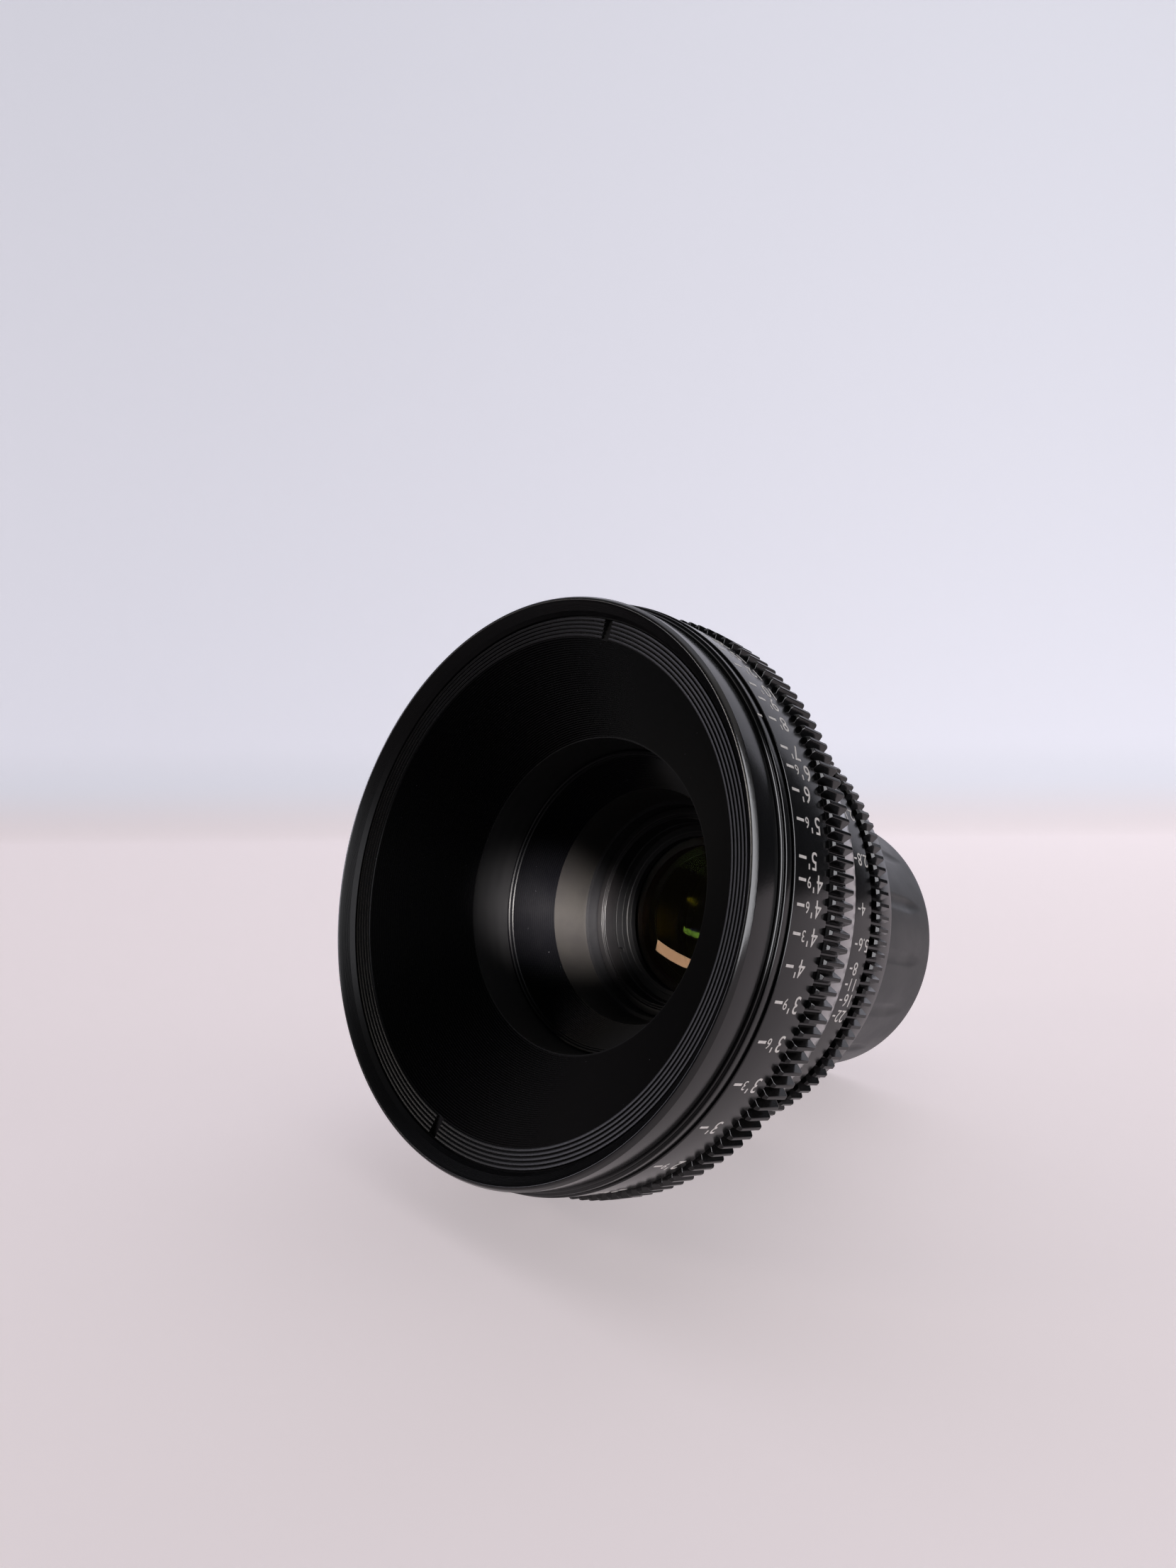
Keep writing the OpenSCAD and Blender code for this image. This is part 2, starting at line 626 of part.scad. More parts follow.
module lens_barrel() color(anodised_inner) difference() {
    turned([[tube_bore, barrel_bottom], [tube_r, barrel_bottom], [tube_r, barrel_web], [barrel_r, barrel_web],
        [barrel_r, barrel_top], [guard_bore, barrel_top], [guard_bore, barrel_web + barrel_web_t],
        [hood_tube_r + seat_fit, barrel_web + barrel_web_t], [hood_tube_r + seat_fit, hood_seat],
        [tube_bore, hood_seat]]);
    for (i = [0:starts - 1])
        spoke(follower_d / 2 + seat_fit, guard_bore - 1, barrel_r + 1, follower_h, i * 360 / starts + 90);
}

module followers() color("#c8a45a") for (i = [0:starts - 1])
    spoke(follower_d / 2, guard_bore + 0.1, groove_r - 0.6, follower_h, i * 360 / starts + 90);

module front_hood() color(anodised_inner) {
    neck = hood_top - hood_cone_len;
    turned(concat(ribbed([hood_r - hood_lip, hood_top], [hood_throat_r, neck], hood_ribs, rib_depth),
        [[hood_throat_r, neck], [hood_end_r, hood_seat], [hood_tube_r, hood_seat], [hood_tube_r, neck - 1.5],
        [hood_r, neck + 4.5], [hood_r, hood_top]]));
}

function sag(radius, r) = radius == 0 ? 0 : sign(radius) * (abs(radius) - sqrt(radius * radius - r * r));
// Height of an element's front and rear surface at a distance from the axis
function front_at(i, r) = lens_data[i][4] - sag(lens_data[i][1], r);
function rear_at(i, r) = lens_data[i][4] - lens_data[i][3] - sag(lens_data[i][2], r);

module lens(i) color(glass) axial() {
    $fn = 400;
    semi = lens_data[i][0];
    front = lens_data[i][1];
    rear = lens_data[i][2];
    vertex = lens_data[i][4];
    back = vertex - lens_data[i][3];
    top = max(vertex, front_at(i, semi));
    bottom = min(back, rear_at(i, semi));
    difference() {
        intersection() {
            translate([0, 0, bottom]) cylinder(r = semi, h = top - bottom);
            if (front > 0) translate([0, 0, vertex - front]) sphere(front);
            if (rear < 0) translate([0, 0, back - rear]) sphere(-rear);
        }
        if (front < 0) translate([0, 0, vertex - front]) sphere(-front);
        if (rear > 0) translate([0, 0, back - rear]) sphere(rear);
    }
}

module front_cell() color(anodised_inner) {
    pocket_1 = lens_data[0][0] + lens_play;
    pocket_2 = lens_data[1][0] + lens_play;
    pocket_3 = lens_data[2][0] + lens_play;
    seat_1 = rear_at(0, lens_data[0][0]) - lens_play;
    seat_2 = rear_at(1, lens_data[1][0]) - lens_play;
    seat_3 = rear_at(2, lens_data[2][0]) - lens_play;
    ring_bore = pocket_1 + retainer_wall;
    ring_seat = front_at(0, lens_data[0][0] - retainer_lip) + 0.1;
    turned([[open_r + 0.7, cell_bottom], [cell_r, cell_bottom], [cell_r, cell_top], [ring_bore, cell_top],
        [ring_bore, ring_seat], [pocket_1, ring_seat], [pocket_1, seat_1], [pocket_2, seat_1],
        [pocket_2, seat_2], [pocket_3, seat_2], [pocket_3, seat_3], [open_r + 0.7, seat_3]]);
}

module front_retainer() color(anodised_inner) {
    inner = lens_data[0][0] - retainer_lip;
    outer = lens_data[0][0] + lens_play + retainer_wall - run_fit;
    bottom = front_at(0, inner) + 0.1;
    top = bottom + retainer_t;
    difference() {
        turned([[inner, bottom], [outer, bottom], [outer, top], [outer - 0.5, top], [inner, bottom + 0.7]]);
        for (side = [0, 180]) axial() rotate([0, 0, side + 35])
            translate([outer - retainer_slot, -retainer_slot_w / 2, top - retainer_slot])
                cube([2 * retainer_slot, retainer_slot_w, 2 * retainer_slot]);
    }
}

module iris_housing() color(anodised_inner) difference() {
    turned([[open_r + 0.2, 0], [housing_r, 0], [housing_r, cell_bottom], [housing_bore, cell_bottom],
        [housing_bore, housing_floor], [open_r + 0.2, housing_floor]]);
    for (i = [0:blades - 1])
        bar(pivot_pin_r + run_fit, 0.15, housing_floor + 1, pivot_r, i * 360 / blades);
    sector(housing_bore - 1, housing_r + 1, cam_bottom - 0.2, cell_bottom + 1,
        drive_clock - fork_half - 1, drive_clock + iris_turn + fork_half + 1);
}

module rear_cell() color(anodised_inner) {
    pocket_front = lens_data[3][0] + lens_play;
    pocket_rear = lens_data[5][0] + lens_play;
    lip = lens_data[4][0] - 0.7;
    lip_top = rear_at(4, lip) - lens_play;
    lip_bottom = front_at(5, lens_data[5][0]) + lens_play;
    turned([[pocket_front, 0], [pocket_front, lip_top], [lip, lip_top], [lip, lip_bottom],
        [pocket_rear, lip_bottom], [pocket_rear, rear_cell_end], [rear_cell_r, rear_cell_end],
        [rear_cell_r, -rear_cell_flange_t], [rear_cell_flange_r, -rear_cell_flange_t],
        [rear_cell_flange_r, 0]]);
}

module rear_spacer() color(anodised_inner) {
    outer = lens_data[5][0];
    inner = outer - 0.8;
    tube(inner, outer, front_at(6, inner) + lens_play, rear_at(5, inner) - lens_play);
}

module rear_retainer() color(anodised_inner) {
    outer = lens_data[6][0];
    inner = outer - 1.5;
    tube(inner, outer, rear_cell_end + 0.2, rear_at(6, inner) - lens_play);
}

module iris_scale_ring() color(anodised) difference() {
    gear_seat = gear_root(iris_teeth) - iris_gear_rim;
    turned([[iris_bore, iris_end], [gear_seat, iris_end], [gear_seat, iris_gear_top],
        [iris_r - 0.2, iris_gear_top], [iris_r, iris_gear_top + 0.2],
        [iris_r, iris_top - 0.3], [iris_r - 0.3, iris_top], [skirt_r, iris_top],
        [skirt_r, skirt_bottom - ring_gap], [iris_bore, skirt_bottom - ring_gap]]);
    spoke(drive_pin_d / 2 + seat_fit, iris_bore - 1, iris_r - drive_pin_skin, drive_pin_h, drive_clock);
}

module iris_gear() color(anodised)
    gear_ring(iris_teeth, gear_root(iris_teeth) - iris_gear_rim + seat_fit, iris_end, iris_gear_top);

module iris_drive_pin() color(steel)
    spoke(drive_pin_d / 2, fork_inner + 0.3, iris_r - drive_pin_skin - 0.2, drive_pin_h, drive_clock);

// Path of a blade's drive pin over the cam ring, from open (0) to closed (1)
function turn(p, a) = [p[0] * cos(a) - p[1] * sin(a), p[0] * sin(a) + p[1] * cos(a)];
function crank_at(t) =
    turn([pivot_r, 0] + crank * [cos(crank_lean + blade_turn * t), sin(crank_lean + blade_turn * t)],
        -iris_turn * t);
function crank_side(t) =
    let (run = crank_at(t + 0.01) - crank_at(t - 0.01))
    cam_slot_w / 2 * [-run[1], run[0]] / norm(run);

module cam_slot() {
    steps = 7;
    over = 0.045;
    times = [for (i = [0:steps]) -over + (1 + 2 * over) * i / steps];
    polygon(concat([for (t = times) crank_at(t) + crank_side(t)],
        [for (i = [steps:-1:0]) crank_at(times[i]) - crank_side(times[i])]));
}

module iris_cam_ring() color(steel) {
    difference() {
        tube(cam_bore, cam_r, cam_bottom, cam_bottom + cam_t);
        axial() for (i = [0:blades - 1]) rotate([0, 0, i * 360 / blades])
            translate([0, 0, cam_bottom - 1]) linear_extrude(cam_t + 2) cam_slot();
    }
    axial() rotate([0, 0, drive_clock]) for (side = [-1, 1])
        translate([0, side * (fork_gap + prong_w) / 2 + prong_w / 2, 0]) rotate([90, 0, 0])
            linear_extrude(prong_w) polygon([[cam_r - 0.5, cam_bottom + 0.1], [fork_outer, cam_bottom + 0.1],
                [fork_outer, fork_top], [fork_inner, fork_top], [fork_inner, cam_bottom + cam_t - 0.1],
                [cam_r - 0.5, cam_bottom + cam_t - 0.1]]);
}

module iris_blade(i) color("#2a2b2d") {
    clock = i * 360 / blades;
    level = blade_bottom + i * blade_step;
    pin = [pivot_r, 0] + crank * [cos(crank_lean), sin(crank_lean)];
    ear_w = 1.6;
    axial() rotate([0, 0, clock]) translate([0, 0, level]) {
        rotate_extrude(angle = blade_arc)
            polygon([[open_r, 0], [open_r + blade_w, 0], [open_r + blade_w, blade_t], [open_r, blade_t]]);
        translate([open_r + blade_w / 2, 0, 0])
            cube([pivot_r - open_r - blade_w / 2, 2 * pivot_pin_r + 0.6, blade_t]);
        translate([pivot_r, 0, 0]) cylinder(r = pivot_pin_r + 0.5, h = blade_t);
        translate([pivot_r, 0, 0]) rotate([0, 0, crank_lean]) translate([0, -ear_w / 2, 0])
            cube([crank, ear_w, blade_t]);
        translate([pin[0], pin[1], 0]) cylinder(r = ear_w / 2, h = blade_t);
        translate([pivot_r, 0, 0.2 - level]) cylinder(r = pivot_pin_r, h = level - 0.2 + blade_t);
        translate([pin[0], pin[1], 0]) cylinder(r = crank_pin_r, h = cam_bottom + cam_t - 0.2 - level);
    }
}

module rear_cap() color(plastic) {
    mouth_r = cap_mouth_r;
    end_r = cap_end_r;
    floor_h = cap_end + cap_floor_t;
    difference() {
        turned([[0, cap_end], [end_r - cap_edge, cap_end], [end_r, cap_end + cap_edge], [mouth_r, -cap_gap],
            [mouth_r - cap_wall, -cap_gap], [end_r - cap_wall, floor_h], [0, floor_h]]);
        for (i = [0:cap_flutes - 1]) axial() rotate([0, 0, i * 360 / cap_flutes])
            translate([mouth_r - flute_depth + flute_r, 0, -cap_gap]) rotate([0, 180 + cap_draft, 0])
                translate([0, 0, -2]) cylinder(r = flute_r, h = cap_len - 1.5);
    }
    rib_top = -cap_gap - 2;
    for (i = [0:cap_ribs - 1]) axial() rotate([0, 0, (i + 0.5) * 360 / cap_ribs])
        translate([0, cap_rib_w / 2, 0]) rotate([90, 0, 0]) linear_extrude(cap_rib_w)
            polygon([[cap_grip_r, floor_h - 0.5], [end_r - cap_wall / 2, floor_h - 0.5],
                [mouth_r - cap_wall / 2 - 0.1, rib_top], [cap_grip_r, rib_top]]);
}

rear_barrel();
cone_ring();
guide_barrel();
front_carrier();
front_ring();
index_ring();
baffle_cone();
focus_stop_pin();
mount_flange();
mount_shim();
mount_screws();
focus_scale_ring();
focus_gear();
helicoid_sleeve();
focus_screws();
lens_barrel();
followers();
front_hood();
front_cell();
front_retainer();
iris_housing();
rear_cell();
rear_spacer();
rear_retainer();
lens(0);  // lens_1
lens(1);  // lens_2
lens(2);  // lens_3
lens(3);  // lens_4
lens(4);  // lens_5
lens(5);  // lens_6
lens(6);  // lens_7
iris_scale_ring();
iris_gear();
iris_drive_pin();
iris_cam_ring();
iris_blade(0);  // iris_blade_01
iris_blade(1);  // iris_blade_02
iris_blade(2);  // iris_blade_03
iris_blade(3);  // iris_blade_04
iris_blade(4);  // iris_blade_05
iris_blade(5);  // iris_blade_06
iris_blade(6);  // iris_blade_07
iris_blade(7);  // iris_blade_08
iris_blade(8);  // iris_blade_09
iris_blade(9);  // iris_blade_10
iris_blade(10);  // iris_blade_11
iris_blade(11);  // iris_blade_12
iris_blade(12);  // iris_blade_13
iris_blade(13);  // iris_blade_14
rear_cap();
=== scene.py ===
# Cinema prime lens lying on a pale table: finishes, engraved scales, stage, lights and camera.
# Profiles are pairs of radius and height in millimetres. Heights count from the mount's seat face towards
# the front, and clock angles turn counter-clockwise as the front is seen, from +X.
import math

import bmesh
import bpy
from mathutils import Matrix, Vector


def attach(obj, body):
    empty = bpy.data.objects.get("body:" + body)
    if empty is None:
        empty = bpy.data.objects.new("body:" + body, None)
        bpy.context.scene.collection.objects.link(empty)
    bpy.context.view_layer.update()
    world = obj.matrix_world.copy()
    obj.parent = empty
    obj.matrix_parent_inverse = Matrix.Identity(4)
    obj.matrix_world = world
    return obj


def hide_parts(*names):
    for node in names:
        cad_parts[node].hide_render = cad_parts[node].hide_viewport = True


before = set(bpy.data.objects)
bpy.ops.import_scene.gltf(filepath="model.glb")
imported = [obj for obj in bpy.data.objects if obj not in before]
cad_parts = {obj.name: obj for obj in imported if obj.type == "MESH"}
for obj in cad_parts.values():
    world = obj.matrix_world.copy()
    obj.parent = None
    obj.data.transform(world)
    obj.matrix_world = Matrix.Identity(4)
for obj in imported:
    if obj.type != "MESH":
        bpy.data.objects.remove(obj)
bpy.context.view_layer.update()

MM = 0.001
SEGMENTS = 288
SHARP = math.radians(28)


# Small tools for nodes and colours

def linear(code):
    """Linear colour of an sRGB hex value."""
    parts = [int(code[i:i + 2], 16) / 255 for i in (1, 3, 5)]
    return tuple(c / 12.92 if c <= 0.04045 else ((c + 0.055) / 1.055) ** 2.4 for c in parts) + (1.0,)


def add(tree, kind, values=None, links=None, stops=(), **settings):
    """Adds a node with its settings, its constant inputs, its links and, on a colour ramp, its two stops."""
    node = tree.nodes.new(kind)
    for key, value in settings.items():
        setattr(node, key, value)
    for key, value in (values or {}).items():
        node.inputs[key].default_value = value
    for key, source in (links or {}).items():
        tree.links.new(source, node.inputs[key])
    for index, (position, colour) in enumerate(stops):
        node.color_ramp.elements[index].position = position
        node.color_ramp.elements[index].color = colour
    return node


def per_mm(size):
    """Noise scale for features of this size in millimetres, with coordinates in metres."""
    return 1.0 / (size * MM)


def new_material(name):
    """An empty node material and its output."""
    material = bpy.data.materials.new(name)
    material.use_nodes = True
    tree = material.node_tree
    tree.nodes.clear()
    output = add(tree, "ShaderNodeOutputMaterial")
    return material, tree, output


def grey(value):
    """A grey that carries a number through a colour ramp."""
    return (value, value, value, 1.0)


# Finishes

# An anodised skin in millimetres: mottle, grain and its depth, chips and the spacing of dust. The real grain
# is a few hundredths, drawn coarser so that it shows.
MOTTLE, GRAIN, GRAIN_DEPTH, CHIP, DUST_SPACING = 9.0, 0.35, 0.02, 1.1, 2.6
# A wave texture turns through this many radians in a unit at scale one. Tool lines are drawn much coarser
# than real ones, so that they show.
WAVE_RADIANS = 20
GLASS_INDEX = 1.62


def anodised(name, dark, light, rough_low, rough_high, specular=0.5, worn=True, dust=0.0, lines_mm=0.0):
    """Dyed, sealed oxide on turned aluminium: a hard black skin with a soft satin sheen, faintly mottled,
    that shows bare bright metal where handling has rubbed an edge. dust is the radius of a speck as a share
    of their spacing, and lines_mm the length of one radian of the tool lines."""
    material, tree, output = new_material(name)
    place = add(tree, "ShaderNodeTexCoord")
    mottle = add(tree, "ShaderNodeTexNoise", {"Scale": per_mm(MOTTLE), "Detail": 4.0, "Roughness": 0.6},
                 {"Vector": place.outputs["Object"]})
    skin = add(tree, "ShaderNodeValToRGB", links={"Fac": mottle.outputs["Fac"]},
               stops=[(0.3, linear(dark)), (0.7, linear(light))])
    grain = add(tree, "ShaderNodeTexNoise", {"Scale": per_mm(GRAIN), "Detail": 3.0, "Roughness": 0.7},
                {"Vector": place.outputs["Object"]})
    sheen = add(tree, "ShaderNodeValToRGB", links={"Fac": grain.outputs["Fac"]},
                stops=[(0.25, grey(rough_low)), (0.75, grey(rough_high))])
    colour, rough = skin.outputs["Color"], sheen.outputs["Color"]
    bump = add(tree, "ShaderNodeBump", {"Strength": 0.35, "Distance": GRAIN_DEPTH * MM},
               {"Height": grain.outputs["Fac"]})
    if lines_mm:
        tool = add(tree, "ShaderNodeTexWave",
                   {"Scale": per_mm(lines_mm) / WAVE_RADIANS, "Distortion": 0.4, "Detail": 2.0},
                   {"Vector": place.outputs["Object"]}, wave_type="BANDS", bands_direction="Y")
        bump = add(tree, "ShaderNodeBump", {"Strength": 0.5, "Distance": GRAIN_DEPTH * MM},
                   {"Height": tool.outputs["Fac"], "Normal": bump.outputs["Normal"]})
        streak = add(tree, "ShaderNodeMix", {7: linear(light)}, {0: tool.outputs["Fac"], 6: colour},
                     data_type="RGBA")
        colour = streak.outputs[2]
    shader = add(tree, "ShaderNodeBsdfPrincipled", {"Specular IOR Level": specular},
                 {"Normal": bump.outputs["Normal"]})
    if dust:
        specks = add(tree, "ShaderNodeTexVoronoi", {"Scale": per_mm(DUST_SPACING), "Randomness": 1.0},
                     {"Vector": place.outputs["Object"]})
        speck = add(tree, "ShaderNodeValToRGB", links={"Fac": specks.outputs["Distance"]},
                    stops=[(dust, grey(1)), (dust + 0.012, grey(0))])
        dusty = add(tree, "ShaderNodeMix", {7: linear("#8C8B92")}, {0: speck.outputs["Color"], 6: colour},
                    data_type="RGBA")
        colour = dusty.outputs[2]
    if worn:
        edge = add(tree, "ShaderNodeAttribute", attribute_name="wear")
        chips = add(tree, "ShaderNodeTexNoise", {"Scale": per_mm(CHIP), "Detail": 5.0, "Roughness": 0.75},
                    {"Vector": place.outputs["Object"]})
        rub = add(tree, "ShaderNodeMath", {1: 0.45}, {0: chips.outputs["Fac"], 2: edge.outputs["Fac"]},
                  operation="MULTIPLY_ADD")
        bare = add(tree, "ShaderNodeValToRGB", links={"Fac": rub.outputs["Value"]},
                   stops=[(0.72, grey(0)), (0.8, grey(1))])
        mask = bare.outputs["Color"]
        metal = add(tree, "ShaderNodeMix", {7: linear("#C9C9CC")}, {0: mask, 6: colour}, data_type="RGBA")
        smooth = add(tree, "ShaderNodeMix", {3: 0.3}, {0: mask, 2: rough}, data_type="FLOAT")
        colour, rough = metal.outputs[2], smooth.outputs[0]
        tree.links.new(mask, shader.inputs["Metallic"])
    tree.links.new(colour, shader.inputs["Base Color"])
    tree.links.new(rough, shader.inputs["Roughness"])
    tree.links.new(shader.outputs["BSDF"], output.inputs["Surface"])
    return material


def turned_metal(name, dark, light, rough, line_mm=0.5, metallic=1.0):
    """Metal turned on a lathe and left bare: rings from the tool, one radian of them in line_mm, and a soft
    gloss."""
    material, tree, output = new_material(name)
    place = add(tree, "ShaderNodeTexCoord")
    rings = add(tree, "ShaderNodeTexWave",
                {"Scale": per_mm(line_mm) / WAVE_RADIANS, "Distortion": 1.5, "Detail": 3.0},
                {"Vector": place.outputs["Object"]}, wave_type="RINGS", rings_direction="Y")
    tone = add(tree, "ShaderNodeValToRGB", links={"Fac": rings.outputs["Fac"]},
               stops=[(0.2, linear(dark)), (0.8, linear(light))])
    gloss = add(tree, "ShaderNodeValToRGB", links={"Fac": rings.outputs["Fac"]},
                stops=[(0.0, grey(rough * 0.8)), (1.0, grey(rough * 1.25))])
    bump = add(tree, "ShaderNodeBump", {"Strength": 0.2, "Distance": 0.01 * MM},
               {"Height": rings.outputs["Fac"]})
    shader = add(tree, "ShaderNodeBsdfPrincipled", {"Metallic": metallic},
                 {"Base Color": tone.outputs["Color"], "Roughness": gloss.outputs["Color"],
                  "Normal": bump.outputs["Normal"]})
    tree.links.new(shader.outputs["BSDF"], output.inputs["Surface"])
    return material


def moulded(name, dark, light, rough_low, rough_high):
    """Glass-filled polyamide from a spark-eroded mould: dark grey, with a soft half-millimetre grain, a
    little polished by hands."""
    material, tree, output = new_material(name)
    place = add(tree, "ShaderNodeTexCoord")
    cloud = add(tree, "ShaderNodeTexNoise", {"Scale": per_mm(12), "Detail": 5.0, "Roughness": 0.6},
                {"Vector": place.outputs["Object"]})
    tone = add(tree, "ShaderNodeValToRGB", links={"Fac": cloud.outputs["Fac"]},
               stops=[(0.3, linear(dark)), (0.72, linear(light))])
    grain = add(tree, "ShaderNodeTexNoise", {"Scale": per_mm(0.5), "Detail": 2.0, "Roughness": 0.6},
                {"Vector": place.outputs["Object"]})
    gloss = add(tree, "ShaderNodeValToRGB", links={"Fac": cloud.outputs["Fac"]},
                stops=[(0.3, grey(rough_low)), (0.7, grey(rough_high))])
    bump = add(tree, "ShaderNodeBump", {"Strength": 0.35, "Distance": 0.03 * MM},
               {"Height": grain.outputs["Fac"]})
    shader = add(tree, "ShaderNodeBsdfPrincipled",
                 links={"Base Color": tone.outputs["Color"], "Roughness": gloss.outputs["Color"],
                        "Normal": bump.outputs["Normal"]})
    tree.links.new(shader.outputs["BSDF"], output.inputs["Surface"])
    return material


def painted(name, colour, shade):
    """Paint wiped into engraved figures: flat, with a slightly uneven edge of colour."""
    material, tree, output = new_material(name)
    place = add(tree, "ShaderNodeTexCoord")
    patch = add(tree, "ShaderNodeTexNoise", {"Scale": per_mm(0.6), "Detail": 3.0},
                {"Vector": place.outputs["Object"]})
    tone = add(tree, "ShaderNodeValToRGB", links={"Fac": patch.outputs["Fac"]},
               stops=[(0.3, linear(shade)), (0.6, linear(colour))])
    shader = add(tree, "ShaderNodeBsdfPrincipled", {"Roughness": 0.6}, {"Base Color": tone.outputs["Color"]})
    tree.links.new(shader.outputs["BSDF"], output.inputs["Surface"])
    return material


def coated_glass(name, tint, share):
    """Polished optical glass with an anti-reflection coating: nearly clear, with a trace of haze and one
    small share of coloured reflection at every angle."""
    material, tree, output = new_material(name)
    place = add(tree, "ShaderNodeTexCoord")
    haze = add(tree, "ShaderNodeTexNoise", {"Scale": per_mm(5), "Detail": 6.0, "Roughness": 0.7},
               {"Vector": place.outputs["Object"]})
    film = add(tree, "ShaderNodeValToRGB", links={"Fac": haze.outputs["Fac"]},
               stops=[(0.45, grey(0.0)), (0.8, grey(0.008))])
    clear = add(tree, "ShaderNodeBsdfRefraction", {"Color": linear("#F2F6F4"), "IOR": GLASS_INDEX},
                {"Roughness": film.outputs["Color"]})
    coat = add(tree, "ShaderNodeBsdfAnisotropic", {"Color": linear(tint)},
               {"Roughness": film.outputs["Color"]})
    shader = add(tree, "ShaderNodeMixShader", {0: share},
                 {1: clear.outputs["BSDF"], 2: coat.outputs["BSDF"]})
    tree.links.new(shader.outputs["Shader"], output.inputs["Surface"])
    return material


def stage_paint(name, near, far, axis, low, high, side_axis, side_low, side_high, shade, painted_glow):
    """Matt emulsion on board, drifting from one pale tint to another along an axis. It glows by itself, a
    painted light that softens shadows as a light tent would, and painted shade dims the glow towards one
    side."""
    material, tree, output = new_material(name)
    place = add(tree, "ShaderNodeTexCoord")
    along = add(tree, "ShaderNodeVectorMath", {1: axis}, {0: place.outputs["Object"]},
                operation="DOT_PRODUCT")
    fade = add(tree, "ShaderNodeMapRange", {"From Min": low, "From Max": high},
               {"Value": along.outputs["Value"]}, interpolation_type="SMOOTHSTEP")
    tone = add(tree, "ShaderNodeValToRGB", links={"Fac": fade.outputs["Result"]},
               stops=[(0.0, linear(near)), (1.0, linear(far))])
    aside = add(tree, "ShaderNodeVectorMath", {1: side_axis}, {0: place.outputs["Object"]},
                operation="DOT_PRODUCT")
    painted_shade_ramp = add(tree, "ShaderNodeMapRange", {"From Min": side_low, "From Max": side_high},
              {"Value": aside.outputs["Value"]}, interpolation_type="SMOOTHSTEP")
    # Emission strength: the board's painted glow, dimmed towards one side as painted shade
    painted_glow_strength = add(tree, "ShaderNodeMapRange", {"To Min": shade * painted_glow, "To Max": painted_glow},
              {"Value": painted_shade_ramp.outputs["Result"]})
    shader = add(tree, "ShaderNodeBsdfPrincipled", {"Roughness": 0.8, "Specular IOR Level": 0.0},
                 {"Base Color": tone.outputs["Color"], "Emission Color": tone.outputs["Color"],
                  "Emission Strength": painted_glow_strength.outputs["Result"]})
    tree.links.new(shader.outputs["BSDF"], output.inputs["Surface"])
    return material


# Outer rings: satin near black with soft highlights, bright where rubbed. The fixed cone ring is glossier.
BLACK = anodised("black_anodised_aluminium", "#050506", "#09090A", 0.15, 0.21, specular=0.42)
GEAR_BLACK = anodised("black_anodised_gear_teeth", "#050505", "#080809", 0.14, 0.20, specular=0.35)
CONE_BLACK = anodised("polished_black_anodised_cone", "#0A0A0B", "#0E0E0F", 0.12, 0.17, specular=0.9)
# Inside the hood: darker and duller, so that only turned steps and smooth walls catch the light
BAFFLE = anodised("matt_black_anodised_baffle", "#020203", "#040405", 0.32, 0.44, specular=0.07, dust=0.01)
BAND = anodised("turned_black_anodised_band", "#0A0A0B", "#0F0F10", 0.42, 0.52, specular=0.15, worn=False,
                lines_mm=0.5)
SATIN = anodised("satin_black_anodised_tube", "#0F0E0E", "#131211", 0.42, 0.52, specular=0.2, worn=False)
CELL = anodised("satin_black_anodised_cell", "#0A0A0B", "#0F0E0F", 0.36, 0.46, specular=0.2, worn=False)
GROOVED = anodised("satin_black_anodised_grooves", "#030304", "#050507", 0.26, 0.32, specular=0.14,
                   worn=False, dust=0.02)
INNER = anodised("matt_black_anodised_inside", "#060607", "#0A0A0C", 0.45, 0.62, specular=0.2, worn=False)
# Bare metal of the mount and the drives: bright, with tool rings. The blades are blued dark and dull.
STEEL = turned_metal("turned_stainless_steel", "#A9A8A6", "#C6C5C3", 0.24)
SCREW = turned_metal("bright_screw_steel", "#8E8E90", "#B4B4B5", 0.3, 0.3)
GUIDE = turned_metal("turned_plain_aluminium", "#B4B5B8", "#CFD0D2", 0.28)
BRASS = turned_metal("greased_turned_brass", "#8C6A33", "#B58F4C", 0.26)
BLADE = turned_metal("blued_spring_steel", "#15161A", "#202227", 0.42, 1.2, metallic=0.6)
# The cap is a soft dark grey, the figures flat white. A coat's last number is the share of light it returns.
CAP = moulded("moulded_dark_polyamide", "#232527", "#2B2D30", 0.36, 0.52)
FIGURES = painted("white_engraving_paint", "#FAF8F3", "#EAE8E3")
GLASS_YELLOW = coated_glass("glass_coated_yellow", "#D8CC30", 0.0025)
GLASS_PINK = coated_glass("glass_coated_pink", "#FFC9A6", 0.03)
GLASS_GREEN = coated_glass("glass_coated_green", "#A9CC58", 0.016)
GLASS_VIOLET = coated_glass("glass_coated_violet", "#8A7CE0", 0.0008)


# Shapes

def spot(r, clock, h):
    """A point of the lens in the part's frame, in metres."""
    a = math.radians(clock)
    return Vector((r * math.cos(a), -h, r * math.sin(a))) * MM


def even_clocks(count=SEGMENTS):
    """Evenly spaced clock angles."""
    return [i * 360 / count for i in range(count)]


def within(clock, middles, half):
    """True where a clock angle lies no further than half from one of the middles."""
    return any(abs((clock - middle + 180) % 360 - 180) <= half for middle in middles)


def cut_clocks(middles, half, gap=0.02):
    """Even clock angles with a close pair at both sides of each cut, which keeps its sides steep."""
    sides = [middle + side * (half + step) for middle in middles for side in (-1, 1) for step in (-gap, gap)]
    return sorted(clock % 360 for clock in even_clocks() + sides)


